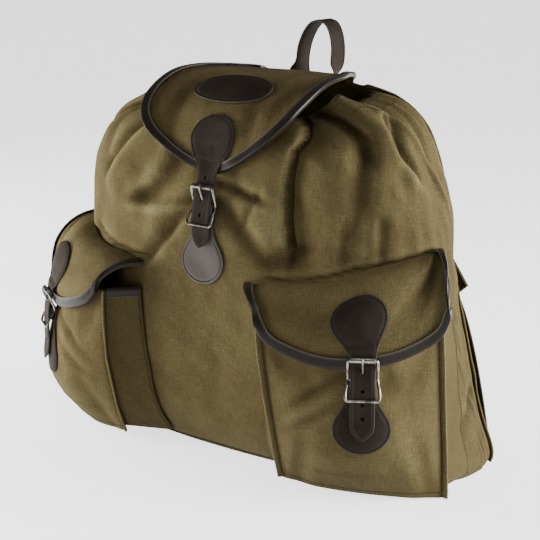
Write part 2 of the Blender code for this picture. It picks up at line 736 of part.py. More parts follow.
def build_fastening(label, origin, down, outward, upper_host, lower_host, strap_tip, tear_end, holes, is_left):
    """One roller buckle with the strap that hangs from the flap and the tab that holds it."""
    down, outward = down.normalized(), outward.normalized()
    across = outward.cross(down)

    def local(a, d, o):
        return origin + across * a + down * d + outward * o

    def wired(a, d, o):
        return flip(local(a, d, o)) if is_left else local(a, d, o)

    # Leather strips are laid out in rows across; each row is a list of four points
    steps = (-1.0, -0.4, 0.4, 1.0)

    def strip(name, rows):
        grid = [[row[column] for row in rows] for column in range(len(steps))]
        return grid_sheet(name, grid, LEATHER, LEATHER_FINISH, is_left=is_left)

    # Upper tab, from the strap's tip up to the round end
    rows = []
    for before, half in reversed(STRAP_POINT):
        rows.append([local(s * half, strap_tip - before, STRAP_END_OUT + LEATHER) for s in steps])
    for d, out in reversed(STRAP_RUN):
        if d < strap_tip - STRAP_POINT[0][0] - 0.002:
            rows.append([local(s * STRAP_HALF, d, out + LEATHER) for s in steps])
    for distance, place in upper_host["rows"]:
        half = tear_half(distance)
        rows.append([upper_host["point"](s * half, place) for s in steps])
    upper = strip("upper_tab_" + label, rows)

    # Lower tab, from its round end up and once round the bar
    rows = []
    for distance in TEAR_DISTANCES:
        place = tear_end - distance
        half = tear_half(distance)
        if place > 0.012:
            rows.append([lower_host(s * half, place) for s in steps])
    bottom = BAR_OUT - CHAPE_RADIUS
    wrap = [(0.006, bottom)]
    for turn in (0, 45, 90, 135, 180):
        angle = math.radians(turn)
        wrap.append((-CHAPE_RADIUS * math.sin(angle), BAR_OUT - CHAPE_RADIUS * math.cos(angle)))
    wrap += [(0.0055, 0.0052), (0.0125, bottom + GAP + 0.0002)]
    for d, out in wrap:
        rows.append([local(s * STRAP_HALF, d, out) for s in steps])
    lower = strip("lower_tab_" + label, rows)

    # Wire frame with its bar soldered in, and the roller on its top bar
    right = [wired(*row) for row in FRAME_WIRE]
    left = [wired(-row[0], row[1], row[2]) for row in FRAME_WIRE]
    frame = tube("buckle_frame_" + label, right + left[::-1], WIRE, NICKEL_FINISH, closed=True)
    waist = FRAME_WIRE[4][0]
    bar_ends = [wired(-waist, 0.0, BAR_OUT), wired(waist, 0.0, BAR_OUT)]
    combine(frame, tube("bar_" + label, bar_ends, WIRE, NICKEL_FINISH), "UNION")

    def sleeve(u, v):
        turn = math.tau * u
        down_by = ROLLER_DOWN + ROLLER_RADIUS * math.cos(turn)
        return local(ROLLER_HALF * (1 - 2 * v), down_by, ROLLER_OUT + ROLLER_RADIUS * math.sin(turn))

    wall = ROLLER_RADIUS - ROLLER_BORE
    sheet("buckle_roller_" + label, sleeve, 12, 1, wall, NICKEL_FINISH, is_left=is_left)

    # Tongue: one wire bent round the bar, then up through the strap to rest on the roller
    wire = []
    for degrees in PRONG_WRAP:
        turn = math.radians(degrees)
        wire.append(wired(0.0, PRONG_RING * math.cos(turn), BAR_OUT + PRONG_RING * math.sin(turn)))
    prong_line = [wired(0.0, d, o) for d, o in PRONG]
    tube("buckle_tongue_" + label, wire + prong_line, PRONG_RADIUS, NICKEL_FINISH)

    # Holes: a slanted one for the prong, round ones down the strap, a slot at the fold
    passage = tube("prong_hole_" + label, wire[-1:] + prong_line[:4], PRONG_PASSAGE, LEATHER_FINISH)
    combine(upper, passage, "DIFFERENCE")
    for d in holes:
        hole = tube("hole_" + label, [wired(0.0, d, 0.0), wired(0.0, d, 0.030)], HOLE_RADIUS, LEATHER_FINISH)
        combine(upper, hole, "DIFFERENCE")
    half, reach, top = CHAPE_SLOT
    form = bmesh.new()
    for a in (-half, half):
        for d in (-reach, reach):
            for o in (-0.001, top):
                form.verts.new(wired(a, d, o))
    bmesh.ops.convex_hull(form, input=form.verts)
    mesh = bpy.data.meshes.new("slot_" + label)
    form.to_mesh(mesh)
    form.free()
    combine(lower, add_object("slot_" + label, mesh, LEATHER_FINISH), "DIFFERENCE")


TEAR_DISTANCES = (0.0, 0.0015, 0.006, 0.013, 0.023, 0.033, 0.042, 0.051, 0.060)


def main_lower(a, place):
    """The body under the middle fastening, by the distance below the buckle's bar."""
    return body_front_at(a, MAIN_LEVEL - place * MAIN_FALL, SEAT + LEATHER)


def main_upper(a, place):
    station, lift = place
    return lid_point(a, station, lift + LEATHER)


def side_lower(a, place):
    z = SIDE_LEVEL - place * SIDE_FALL
    _, inner_along, _, outer_along, _ = row_at(POCKET_EDGES, z)
    across = (SIDE_ALONG + a - inner_along) / (outer_along - inner_along)
    return pocket_front_point(across, z, SEAT + LEATHER)


def side_upper(a, place):
    down, lift = place
    across = SIDE_ACROSS + SIDE_LEAN * (SIDE_UPPER_ROWS[0][1][0] - down) + a / FLAP_WIDTH
    return flap_lifted(across, down, lift + LEATHER)


def build_fastenings():
    """The same fastening three times: in the middle of the lid and once on each pocket."""
    upper = {"point": main_upper, "rows": MAIN_UPPER_ROWS}
    origin = body_front_at(0.0, MAIN_LEVEL, 0.0)
    out = Vector((0.0, -MAIN_FALL, math.sqrt(1 - MAIN_FALL**2)))
    down = Vector((0.0, -math.sqrt(1 - MAIN_FALL**2), -MAIN_FALL))
    build_fastening("main", origin, down, out, upper, main_lower, 0.045, 0.085, (-0.0304, 0.0100), False)
    upper = {"point": side_upper, "rows": SIDE_UPPER_ROWS}
    across = (SIDE_ALONG - POCKET_EDGES[3][1]) / (POCKET_EDGES[3][3] - POCKET_EDGES[3][1])
    origin = pocket_front_point(across, SIDE_LEVEL)
    level = Vector((math.sin(POCKET_ANGLE), -math.cos(POCKET_ANGLE), 0.0))
    steep = math.sqrt(1 - SIDE_FALL**2)
    out = level * SIDE_FALL + Vector((0.0, 0.0, steep))
    down = level * steep + Vector((0.0, 0.0, -SIDE_FALL))
    holes = (0.0114, 0.0254, 0.0394)
    for side in ("right", "left"):
        build_fastening(side, origin, down, out, upper, side_lower, 0.062, 0.0807, holes, side == "left")


def smooth_line(table, steps):
    last = len(table) - 1
    return [table_at(table, last * step / steps) for step in range(steps + 1)]


def build_handle(leather):
    """A leather loop whose two ends lie flat on the back panel and turn edgeways above it."""
    half_line = smooth_line(HANDLE_LINE, 10)
    columns = []
    for x, y, z, turned in half_line:
        angle = turned * math.pi / 2
        columns.append((Vector((x, y, z)), Vector((math.cos(angle), math.sin(angle), 0.0))))
    for centre, width in columns[-2::-1]:
        columns.append((flip(centre), Vector((-width.x, width.y, 0.0))))
    for centre, _ in columns:
        centre.x += row_at(HANDLE_LEAN, centre.z)[1]
    grid = [[centre - width * STRAP_HALF * side for centre, width in columns] for side in (-1.0, 0.0, 1.0)]
    grid_sheet("carry_handle", grid, HANDLE_THICKNESS, leather, side=0.0)


def build_shoulder_straps(canvas, leather):
    """A padded strap from the top of the back, and a leather one from it to the lower corner."""
    for side in ("right", "left"):
        for name, table, thickness, finish, steps in (
            ("shoulder_pad_", SHOULDER_PAD, PADDING, canvas, 9),
            ("lower_strap_", LOWER_STRAP, LEATHER, leather, 9),
        ):
            line = smooth_line(table, steps)
            grid = [[], [], []]
            for number, (x, y, z, half) in enumerate(line):
                before, after = line[max(number - 1, 0)], line[min(number + 1, steps)]
                run = Vector((after[0] - before[0], 0.0, after[2] - before[2])).normalized()
                width = Vector((-run.z, 0.0, run.x))
                for column, share in zip(grid, (-1.0, 0.0, 1.0)):
                    column.append(Vector((x, y, z)) + width * half * share)
            grid_sheet(name + side, grid, thickness, finish, side=0.0, is_left=side == "left")


POCKET_BACK = 0.100
MAIN_LEVEL, MAIN_FALL = 0.2825, 0.968
MAIN_COLUMNS = ("from_round_end", ("station", "lift"))
MAIN_UPPER_ROWS = (
    (0.054, (11.35, 0.0031)),
    (0.047, (10.90, 0.0030)),
    (0.040, (10.35, 0.0017)),
    (0.033, (9.85, SEAT)),
    (0.026, (9.40, SEAT)),
    (0.018, (8.92, SEAT)),
    (0.011, (8.52, SEAT)),
    (0.005, (8.20, SEAT)),
    (0.0015, (8.02, SEAT)),
    (0.0, (7.94, SEAT)),
)
SIDE_LEVEL, SIDE_FALL, SIDE_ALONG = 0.1386, 0.984, 0.1873
SIDE_ACROSS, SIDE_LEAN = 0.5366, -0.030
FLAP_WIDTH = 0.270
SIDE_UPPER_ROWS = (
    (0.056, (0.880, 0.0031)),
    (0.050, (0.835, SEAT)),
    (0.042, (0.773, SEAT)),
    (0.034, (0.710, SEAT)),
    (0.026, (0.643, SEAT)),
    (0.018, (0.576, SEAT)),
    (0.011, (0.514, SEAT)),
    (0.005, (0.458, SEAT)),
    (0.0015, (0.424, SEAT)),
    (0.0, (0.409, SEAT)),
)

FLAP_ENDS = flap_table()

clear_scene()
BAG = bpy.data.collections.new("hunting_rucksack")
CUTTERS = bpy.data.collections.new("cutters")
bpy.context.scene.collection.children.link(BAG)
bpy.context.scene.collection.children.link(CUTTERS)

CANVAS_FINISH = make_finish("canvas")
LEATHER_FINISH = make_finish("leather")
NICKEL_FINISH = make_finish("nickel")

build_body(CANVAS_FINISH)
build_lid(CANVAS_FINISH, LEATHER_FINISH)
for pocket_side in ("right", "left"):
    build_pocket(pocket_side, CANVAS_FINISH, LEATHER_FINISH)
    build_pocket_flap(pocket_side, CANVAS_FINISH, LEATHER_FINISH)
build_fastenings()
build_handle(LEATHER_FINISH)
build_shoulder_straps(CANVAS_FINISH, LEATHER_FINISH)
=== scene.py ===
# %% [markdown]
# # Dressing a hunting rucksack
# The frame is a plain model of the bag: every panel, strap and buckle at its real size. This lesson
# lays the visible surface over it. The canvas gets its folds, seams and weave, the leather its cut
# edges and stitches, and the buckles their round wire. Lengths are in metres, +Z is up, and the
# front of the bag faces -Y.

import math

import bmesh
import bpy
import numpy as np
from mathutils import Matrix, Vector


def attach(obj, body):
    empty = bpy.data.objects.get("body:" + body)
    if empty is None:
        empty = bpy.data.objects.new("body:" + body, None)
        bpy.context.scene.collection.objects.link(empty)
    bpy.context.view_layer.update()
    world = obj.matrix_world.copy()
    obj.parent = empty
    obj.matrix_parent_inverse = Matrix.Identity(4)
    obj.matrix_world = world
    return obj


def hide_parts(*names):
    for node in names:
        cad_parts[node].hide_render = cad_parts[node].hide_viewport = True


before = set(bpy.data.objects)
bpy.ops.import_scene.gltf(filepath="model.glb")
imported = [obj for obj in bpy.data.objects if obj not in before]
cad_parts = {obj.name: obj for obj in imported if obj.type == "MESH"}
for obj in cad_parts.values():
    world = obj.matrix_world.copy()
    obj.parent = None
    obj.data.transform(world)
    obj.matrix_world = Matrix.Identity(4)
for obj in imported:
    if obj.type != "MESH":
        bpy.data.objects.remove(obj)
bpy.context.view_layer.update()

# %% [markdown]
# The camera comes first, because it decides which folds count. It stands a little above the bag, to
# the right of its front, with a long lens, so that the near pocket isn't much larger than the far
# one. A camera placed by angle and distance from a target is easier to reason about than one placed
# by its coordinates.

# %% The camera
CAMERA_AZIMUTH = math.radians(38.83)
CAMERA_HEIGHT = math.radians(13.8)
CAMERA_ROLL = math.radians(-0.2)
CAMERA_DISTANCE = 1.5997
CAMERA_TARGET = Vector((0.06721, -0.05028, 0.21879))
LENS, SENSOR_WIDTH = 100.23, 36.0


def towards(azimuth, height):
    """Unit vector at an azimuth from the bag's front and an angle over the horizon."""
    level = math.cos(height)
    return Vector((math.sin(azimuth) * level, -math.cos(azimuth) * level, math.sin(height)))


backwards = towards(CAMERA_AZIMUTH, CAMERA_HEIGHT)
camera_data = bpy.data.cameras.new("camera")
camera_data.lens = LENS
camera_data.sensor_width = SENSOR_WIDTH
camera = bpy.data.objects.new("camera", camera_data)
bpy.context.scene.collection.objects.link(camera)
turn = backwards.to_track_quat("Z", "Y").to_matrix() @ Matrix.Rotation(CAMERA_ROLL, 3, "Z")
camera.matrix_world = Matrix.Translation(CAMERA_TARGET + backwards * CAMERA_DISTANCE) @ turn.to_4x4()
bpy.context.scene.camera = camera
print("camera stands at", tuple(round(c, 3) for c in camera.location))

# %% [markdown]
# Shader trees are long when each node is written out by hand. One small helper adds a node, sets its
# options and joins or fills its sockets, so that a finish reads as a short list of steps.

# %% A helper for shader trees
def new_finish(name):
    finish = bpy.data.materials.new(name)
    finish.use_nodes = True
    tree = finish.node_tree
    return finish, tree, tree.nodes["Principled BSDF"]


def add(tree, kind, options=(), **sockets):
    """Adds a node. A socket is named in lower case with _ for a space, or by number as s0, s1."""
    node = tree.nodes.new("ShaderNode" + kind)
    for option, value in dict(options).items():
        setattr(node, option, value)
    for name, value in sockets.items():
        if name[0] == "s" and name[1:].isdigit():
            socket = node.inputs[int(name[1:])]
        else:
            socket = node.inputs[name.replace("_", " ").title()]
        if isinstance(value, bpy.types.NodeSocket):
            tree.links.new(value, socket)
        else:
            socket.default_value = value
    return node


def join(tree, start, end):
    tree.links.new(start, end)


def reckon(tree, operation, *values):
    """One step of arithmetic on numbers or sockets."""
    sockets = {"s" + str(number): value for number, value in enumerate(values)}
    return add(tree, "Math", {"operation": operation}, **sockets).outputs[0]


def noise(tree, place, **settings):
    grain = add(tree, "TexNoise", **settings)
    join(tree, place, grain.inputs["Vector"])
    return grain.outputs[0]


def ramp(tree, factor, stops):
    """A colour ramp from (position, colour) stops."""
    node = add(tree, "ValToRGB", s0=factor)
    elements = node.color_ramp.elements
    while len(elements) < len(stops):
        elements.new(0.5)
    for element, (position, colour) in zip(elements, stops):
        element.position = position
        element.color = (*colour, 1.0)
    return node.outputs["Color"]


# %% [markdown]
# The cloth is a heavy plain-weave cotton canvas. At arm's length the eye sees three things: the fine
# grid of the threads, slubs where a thread runs thick for a centimetre or two, and a slow change of
# tone where the cloth has been rubbed. All three are made from the UV map, which is laid out in
# metres, so that a thread keeps its size on every panel. An attribute set on each panel when it is
# built paints light and shade into the colour: it is high on ridges, which it lightens as painted
# light, and low in folds, which it darkens as painted shade.

# %% The canvas
THREAD = 0.00105
CANVAS_DARK = (0.0150, 0.0098, 0.0040)
CANVAS_MIDDLE = (0.043, 0.0332, 0.0134)
CANVAS_LIGHT = (0.090, 0.0765, 0.0362)
SLUB_SHARE, RELIEF_SHADE_SHARE, TONE_SHIFT = 0.42, 0.62, -0.21
FLECK_SHARE, WEAVE_SHARE, PATCH_SHARE = 0.5, 0.07, 0.30
SLUB_WARP, SLUB_WEFT = (900.0, 75.0, 1.0), (75.0, 900.0, 1.0)
FLECK_SCALE, PATCH_SCALE, CRUMPLE_SCALE = (620.0, 620.0, 1.0), (9.0, 9.0, 1.0), (55.0, 40.0, 1.0)


def make_canvas(name):
    finish, tree, shader = new_finish(name)
    place = add(tree, "TexCoord").outputs["UV"]
    half_turn = math.pi / THREAD
    split = add(tree, "SeparateXYZ", s0=place).outputs
    turns = [reckon(tree, "MULTIPLY", split[axis], half_turn) for axis in "XY"]
    woven = reckon(tree, "MULTIPLY", *(reckon(tree, "SINE", angle) for angle in turns))

    def slubs(scale):
        mapped = add(tree, "Mapping", s0=place)
        mapped.inputs["Scale"].default_value = scale
        grain = add(tree, "TexNoise", {"noise_dimensions": "2D"}, scale=1.0, detail=2.0, roughness=0.6)
        join(tree, mapped.outputs[0], grain.inputs["Vector"])
        return grain.outputs[0]

    slub = reckon(tree, "ADD", slubs(SLUB_WARP), slubs(SLUB_WEFT))
    parts = [(slubs(FLECK_SCALE), FLECK_SHARE), (woven, WEAVE_SHARE), (slubs(PATCH_SCALE), PATCH_SHARE)]
    # The attribute read here is painted shade in folds and painted light on ridges, mixed into the colour.
    relief_shade = add(tree, "Attribute", {"attribute_name": "relief_shade"}).outputs["Fac"]
    tone = reckon(tree, "MULTIPLY_ADD", slub, SLUB_SHARE, -SLUB_SHARE)
    for part, share in parts + [(relief_shade, RELIEF_SHADE_SHARE)]:
        tone = reckon(tree, "MULTIPLY_ADD", part, share, tone)
    tone = reckon(tree, "ADD", tone, TONE_SHIFT)
    colour = ramp(tree, tone, [(0.0, CANVAS_DARK), (0.5, CANVAS_MIDDLE), (1.0, CANVAS_LIGHT)])
    join(tree, colour, shader.inputs["Base Color"])

    height = reckon(tree, "MULTIPLY_ADD", slub, 1.3, woven)
    threads = add(tree, "Bump", strength=0.55, distance=0.00035, height=height).outputs[0]
    crumple = slubs(CRUMPLE_SCALE)
    soft = add(tree, "Bump", strength=0.35, distance=0.004, height=crumple, normal=threads).outputs[0]
    join(tree, soft, shader.inputs["Normal"])
    shader.inputs["Roughness"].default_value = 0.88
    shader.inputs["Specular IOR Level"].default_value = 0.06
    return finish


CANVAS_FINISH = make_canvas("olive_canvas")
print("canvas thread pitch", THREAD * 1000, "mm")

# %% [markdown]
# The trim is vegetable-tanned leather, dyed dark brown nearly to black. Its grain is a net of small
# cells, made with a Voronoi texture on object coordinates, so that it doesn't stretch. The cut edges
# show the paler core of the hide: the edge attribute marks them when a piece is built. One recipe
# gives three leathers: the dull one of the straps, the glossy one of the bindings, and a rubbed one.

# %% The leather
LEATHER_DARK = (0.0068, 0.0053, 0.0043)
LEATHER_BROWN = (0.0195, 0.0150, 0.0120)
LEATHER_EDGE = (0.036, 0.031, 0.025)


def make_leather(name, roughness, shine, wear=0.0):
    finish, tree, shader = new_finish(name)
    place = add(tree, "TexCoord").outputs["Object"]
    cells = add(tree, "TexVoronoi", {"feature": "DISTANCE_TO_EDGE"}, scale=750.0)
    join(tree, place, cells.inputs["Vector"])
    pores = noise(tree, place, scale=320.0, detail=4.0, roughness=0.65)
    clouds = noise(tree, place, scale=26.0, detail=3.0, roughness=0.6)
    edge = add(tree, "Attribute", {"attribute_name": "edge"}).outputs["Fac"]
    tone = reckon(tree, "MULTIPLY_ADD", clouds, 0.8, -0.10 + wear)
    tone = reckon(tree, "MULTIPLY_ADD", pores, 0.35, tone)
    body = ramp(tree, tone, [(0.25, LEATHER_DARK), (0.85, LEATHER_BROWN)])
    rubbed = add(tree, "Math", {"operation": "MULTIPLY", "use_clamp": True}, s0=edge, s1=0.85)
    mixed = add(tree, "Mix", {"data_type": "RGBA"})
    join(tree, rubbed.outputs[0], mixed.inputs[0])
    join(tree, body, mixed.inputs[6])
    mixed.inputs[7].default_value = (*LEATHER_EDGE, 1.0)
    join(tree, mixed.outputs[2], shader.inputs["Base Color"])
    dull = add(tree, "MapRange", s0=clouds, s1=0.3, s2=0.7, s3=roughness - 0.07, s4=roughness + 0.09)
    join(tree, dull.outputs[0], shader.inputs["Roughness"])
    grain = reckon(tree, "MULTIPLY_ADD", pores, 0.6, cells.outputs[0])
    bump = add(tree, "Bump", strength=0.30, distance=0.0004, height=grain)
    join(tree, bump.outputs[0], shader.inputs["Normal"])
    shader.inputs["Specular IOR Level"].default_value = shine
    return finish


LEATHER_FINISH = make_leather("dark_leather", 0.58, 0.02)
BINDING_FINISH = make_leather("glossy_binding_leather", 0.28, 0.10, -0.32)
WORN_FINISH = make_leather("rubbed_leather", 0.55, 0.45, 0.45)
print("leathers:", LEATHER_FINISH.name, BINDING_FINISH.name, WORN_FINISH.name)

# %% [markdown]
# The buckles are steel wire with an antiqued nickel plate: bright where it is rubbed, brownish grey
# where the finish stayed. The thread is waxed and nearly black.

# %% The metal and the thread
NICKEL_PATINA, NICKEL_BRIGHT = (0.070, 0.062, 0.050), (0.235, 0.222, 0.195)
THREAD_DARK, THREAD_LIGHT = (0.0022, 0.0018, 0.0016), (0.0075, 0.0058, 0.0048)


def make_nickel():
    finish, tree, shader = new_finish("antiqued_nickel")
    place = add(tree, "TexCoord").outputs["Object"]
    patina = noise(tree, place, scale=140.0, detail=4.0, roughness=0.65)
    scratches = noise(tree, place, scale=900.0, detail=2.0)
    colour = ramp(tree, patina, [(0.36, NICKEL_PATINA), (0.60, NICKEL_BRIGHT)])
    join(tree, colour, shader.inputs["Base Color"])
    dull = add(tree, "MapRange", s0=patina, s1=0.3, s2=0.7, s3=0.42, s4=0.24)
    join(tree, dull.outputs[0], shader.inputs["Roughness"])
    bump = add(tree, "Bump", strength=0.12, distance=0.0001, height=scratches)
    join(tree, bump.outputs[0], shader.inputs["Normal"])
    shader.inputs["Metallic"].default_value = 1.0
    return finish


def make_thread():
    finish, tree, shader = new_finish("waxed_thread")
    place = add(tree, "TexCoord").outputs["Object"]
    twist = noise(tree, place, scale=1800.0, detail=1.0)
    colour = ramp(tree, twist, [(0.3, THREAD_DARK), (0.8, THREAD_LIGHT)])
    join(tree, colour, shader.inputs["Base Color"])
    shader.inputs["Roughness"].default_value = 0.70
    shader.inputs["Specular IOR Level"].default_value = 0.08
    return finish


NICKEL_FINISH = make_nickel()
THREAD_FINISH = make_thread()
print("metal and thread:", NICKEL_FINISH.name, THREAD_FINISH.name)

# %% [markdown]
# Every soft panel is a sheet: a grid of points laid out by two numbers. Grids are worked out with
# numpy, a whole panel at a time, which is quick enough to try things. A smooth curve through the rows
# of a short table gives the sections between the ones that were measured.

# %% Grids of points
CANVAS = 0.0020
LEATHER = 0.0022
BINDING = 0.0012


def rows_at(table, place):
    """Rows of a table at places counted in rows, on a smooth curve through the rows."""
    table = np.asarray(table, float)
    place = np.clip(np.asarray(place, float), 0.0, len(table) - 1.0)
    first = np.minimum(place.astype(int), len(table) - 2)
    t = (place - first)[..., None]
    before, start = table[np.maximum(first - 1, 0)], table[first]
    end, after = table[first + 1], table[np.minimum(first + 2, len(table) - 1)]
    square = (2 * before - 5 * start + 4 * end - after) * t**2
    cube = (3 * start - before - 3 * end + after) * t**3
    return 0.5 * (2 * start + (end - before) * t + square + cube)


def unit(vectors):
    return vectors / np.maximum(np.linalg.norm(vectors, axis=-1, keepdims=True), 1e-12)


def normals_of(surface, first, second, first_step, second_step):
    """Normals of surface(first, second), from its slopes both ways."""
    along = surface(first + first_step, second) - surface(first - first_step, second)
    up = surface(first, second + second_step) - surface(first, second - second_step)
    return unit(np.cross(along, up))


def search(low, high, is_under, rounds=20):
    """Halves a range for many values at once, down to the place where is_under stops being true."""
    for _ in range(rounds):
        middle = (low + high) / 2
        under = is_under(middle)
        low, high = np.where(under, middle, low), np.where(under, high, middle)
    return (low + high) / 2


def dented(first, second, dents):
    """Summed depth of soft dents: each has a place, two half sizes, a depth and a lean."""
    depth = np.zeros(np.shape(first))
    for at_first, at_second, half_first, half_second, amount, lean in dents:
        turned = first - at_first - lean * (second - at_second)
        depth += amount * np.exp(-((turned / half_first) ** 2) - ((second - at_second) / half_second) ** 2)
    return depth


def lengths(points):
    """Length along each column's rows, starting at 0."""
    steps = np.linalg.norm(np.diff(points, axis=-2), axis=-1)
    start = np.zeros(steps.shape[:-1] + (1,))
    return np.concatenate([start, np.cumsum(steps, axis=-1)], axis=-1)


print("between rows of 0, 1 and 4 the curve has", rows_at([[0.0], [1.0], [4.0]], [0.5, 1.5]).ravel())

# %% [markdown]
# A grid becomes a mesh with a face between each four neighbours. The UV map is given in metres, and
# two attributes carry what the finishes need. Welding the doubled points closes a tube or the middle
# of a round patch, and leaves the UV map whole, because it belongs to the face corners.

# %% From grid to mesh
WELD = 0.000004


def grid_mesh(name, points, uv, weld=False, closed=False, attributes=()):
    columns, rows = points.shape[:2]
    index = np.arange(columns * rows).reshape(columns, rows)
    corners = np.stack([index[:-1, :-1], index[1:, :-1], index[1:, 1:], index[:-1, 1:]], -1)
    corners = corners.reshape(-1, 4)
    mesh = bpy.data.meshes.new(name)
    mesh.from_pydata(points.reshape(-1, 3).tolist(), [], corners.tolist())
    layer = mesh.uv_layers.new(name="UVMap")
    layer.data.foreach_set("uv", uv.reshape(-1, 2)[corners.ravel()].astype(np.float32).ravel())
    for label, values in dict(attributes).items():
        attribute = mesh.attributes.new(label, "FLOAT", "POINT")
        attribute.data.foreach_set("value", np.asarray(values, np.float32).ravel())
    if weld:
        form = bmesh.new()
        form.from_mesh(mesh)
        bmesh.ops.remove_doubles(form, verts=form.verts, dist=WELD)
        if closed:
            bmesh.ops.recalc_face_normals(form, faces=form.faces)
        form.to_mesh(mesh)
        form.free()
    return mesh


def show(name, mesh, finish, slot, nodes=(), angle=50.0):
    """Puts a mesh in the scene, riding on the bag's one body, in place of its frame nodes."""
    piece = bpy.data.objects.new(name, mesh)
    bpy.context.scene.collection.objects.link(piece)
    mesh.materials.clear()
    mesh.materials.append(finish)
    mesh.shade_smooth()
    mesh.set_sharp_from_angle(angle=math.radians(angle))
    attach(piece, "root")
    if nodes:
        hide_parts(*nodes)
    print(name, "has", len(mesh.polygons), "faces")
    return piece


MIRROR = np.array([-1.0, 1.0, 1.0])


def in_order(values, is_left):
    """Columns of a left pocket's piece, which run the other way than the right one's."""
    return values[::-1] if is_left else values


def mirrored(points, is_left):
    """The left pocket's pieces are the right one's in a mirror."""
    return points[::-1] * MIRROR if is_left else points


def canvas_sheet(name, points, uv, relief_shade, node, is_left=False, weld=False, side=-1.0):
    """A panel of canvas that stands for one node of the frame, thickened to one side."""
    mesh = grid_mesh(name, mirrored(points, is_left), in_order(uv, is_left), weld=weld,
                     attributes={"relief_shade": in_order(relief_shade, is_left)})
    shell = show(name, mesh, CANVAS_FINISH, "canvas", [node]).modifiers.new("Thickness", "SOLIDIFY")
    shell.thickness = CANVAS
    shell.offset = side


# %% [markdown]
# The body is one length of canvas round the front and sides, drawn in at the mouth. Its table gives
# a ring for each height: how wide the bag is there, where its front and back lie, and how square the
# two halves are. A superellipse turns those numbers into a rounded outline, and the upper rings tilt,
# because the mouth is lower in front than at the back.

# %% The body without its folds
# Columns: z in front, z behind, half width, y in front, y behind, power in front, power behind,
# y of the widest place.
BODY_RINGS = (
    (0.0026, 0.0026, 0.247, -0.030, 0.084, 2.3, 7.0, 0.058),
    (0.0026, 0.0026, 0.258, -0.044, 0.093, 2.3, 8.0, 0.060),
    (0.0080, 0.0080, 0.262, -0.052, 0.096, 2.3, 8.0, 0.062),
    (0.0180, 0.0180, 0.263, -0.060, 0.098, 2.4, 8.0, 0.065),
    (0.0420, 0.0420, 0.256, -0.073, 0.098, 2.6, 7.0, 0.064),
    (0.0800, 0.0800, 0.245, -0.083, 0.098, 2.7, 6.5, 0.062),
    (0.1300, 0.1300, 0.234, -0.089, 0.098, 2.8, 6.0, 0.058),
    (0.1800, 0.1800, 0.228, -0.090, 0.098, 2.8, 4.5, 0.050),
    (0.2250, 0.2250, 0.234, -0.085, 0.098, 2.6, 3.0, 0.034),
    (0.2620, 0.2620, 0.237, -0.080, 0.098, 2.4, 2.8, 0.024),
    (0.3000, 0.3000, 0.229, -0.076, 0.098, 2.6, 3.0, 0.022),
    (0.3300, 0.3320, 0.216, -0.070, 0.098, 2.9, 3.2, 0.024),
    (0.3500, 0.3600, 0.204, -0.062, 0.098, 3.0, 3.0, 0.027),
    (0.3610, 0.3810, 0.189, -0.054, 0.098, 2.9, 2.8, 0.030),
    (0.3670, 0.3930, 0.170, -0.047, 0.098, 2.6, 2.7, 0.034),
    (0.3700, 0.4000, 0.153, -0.041, 0.097, 2.4, 2.6, 0.036),
    (0.3730, 0.4050, 0.126, -0.036, 0.093, 2.2, 2.6, 0.036),
)
RINGS = len(BODY_RINGS) - 1
LEVEL_RINGS = (1.0, 12.0)
RING_RISE_POWER = 1.5


def plain_body(degrees, place):
    """Points of the unfolded body. Degrees run round it from 0 at the right, place from 0 to 1 up it."""
    degrees, place = np.broadcast_arrays(np.asarray(degrees, float), np.asarray(place, float))
    row = np.moveaxis(rows_at(BODY_RINGS, place * RINGS), -1, 0)
    z_front, z_back, half_width, y_front, y_back, n_front, n_back, y_widest = row
    c, s = np.cos(np.radians(degrees)), np.sin(np.radians(degrees))
    power = np.where(s < 0, n_front, n_back)
    reach = (np.abs(c) ** power + np.abs(s) ** power) ** (-1.0 / power)
    y = y_widest + np.where(s < 0, y_widest - y_front, y_back - y_widest) * s * reach
    share = np.clip((y - y_front) / (y_back - y_front), 0.0, 1.0)
    climb = 1.0 - (1.0 - share) ** RING_RISE_POWER
    return np.stack([half_width * c * reach, y, z_front + (z_back - z_front) * climb], -1)


print("half way up, the body is", round(2000 * plain_body(0.0, 0.5)[0]), "mm wide")

# %% [markdown]
# No panel of a filled bag is smooth. A sum of a few slanting waves, with lengths and directions
# drawn once from a seeded generator, gives a soft rumple that repeats nowhere on the bag. It is a
# formula, so each piece that lies on a panel can follow the same rumple.

# %% Rumpled cloth
RUMPLE_WAVES = 14
RUMPLE_LONG, RUMPLE_SHORT = 0.085, 0.022
RUMPLE_SEED = 7
RUMPLE_POWER, RUMPLE_GAIN = 0.7, 0.32

draw = np.random.default_rng(RUMPLE_SEED)
rumple_lengths = RUMPLE_LONG * (RUMPLE_SHORT / RUMPLE_LONG) ** draw.random(RUMPLE_WAVES)
rumple_turns = draw.random(RUMPLE_WAVES) * math.tau
rumple_starts = draw.random(RUMPLE_WAVES) * math.tau


def rumple(across, up):
    """A soft uneven height for places in metres, mostly between -1 and 1."""
    height = np.zeros(np.shape(across))
    for length, turned, start in zip(rumple_lengths, rumple_turns, rumple_starts):
        slant = across * math.cos(turned) + up * math.sin(turned)
        wave = np.sin(slant * (math.tau / length) + start)
        height = height + wave * (length / RUMPLE_LONG) ** RUMPLE_POWER
    return height * RUMPLE_GAIN


def relief_of(height, reach=7, depth=0.0030):
    """From 0 in a fold to 1 on a ridge: the height against its own surroundings, used as painted shade."""
    size = 2 * reach + 1
    wide = height.astype(float)
    for _ in range(2):
        wide = np.pad(wide.T, [(reach, reach), (0, 0)], mode="edge")
        summed = np.pad(np.cumsum(wide, axis=0), [(1, 0), (0, 0)])
        wide = (summed[size:] - summed[:-size]) / size
    return np.clip(0.5 + (height - wide) / depth * 0.5, 0.0, 1.0)


sample = rumple(*np.meshgrid(np.linspace(0.0, 0.5, 80), np.linspace(0.0, 0.4, 80)))
print("the rumple runs from", sample.min().round(2), "to", sample.max().round(2))

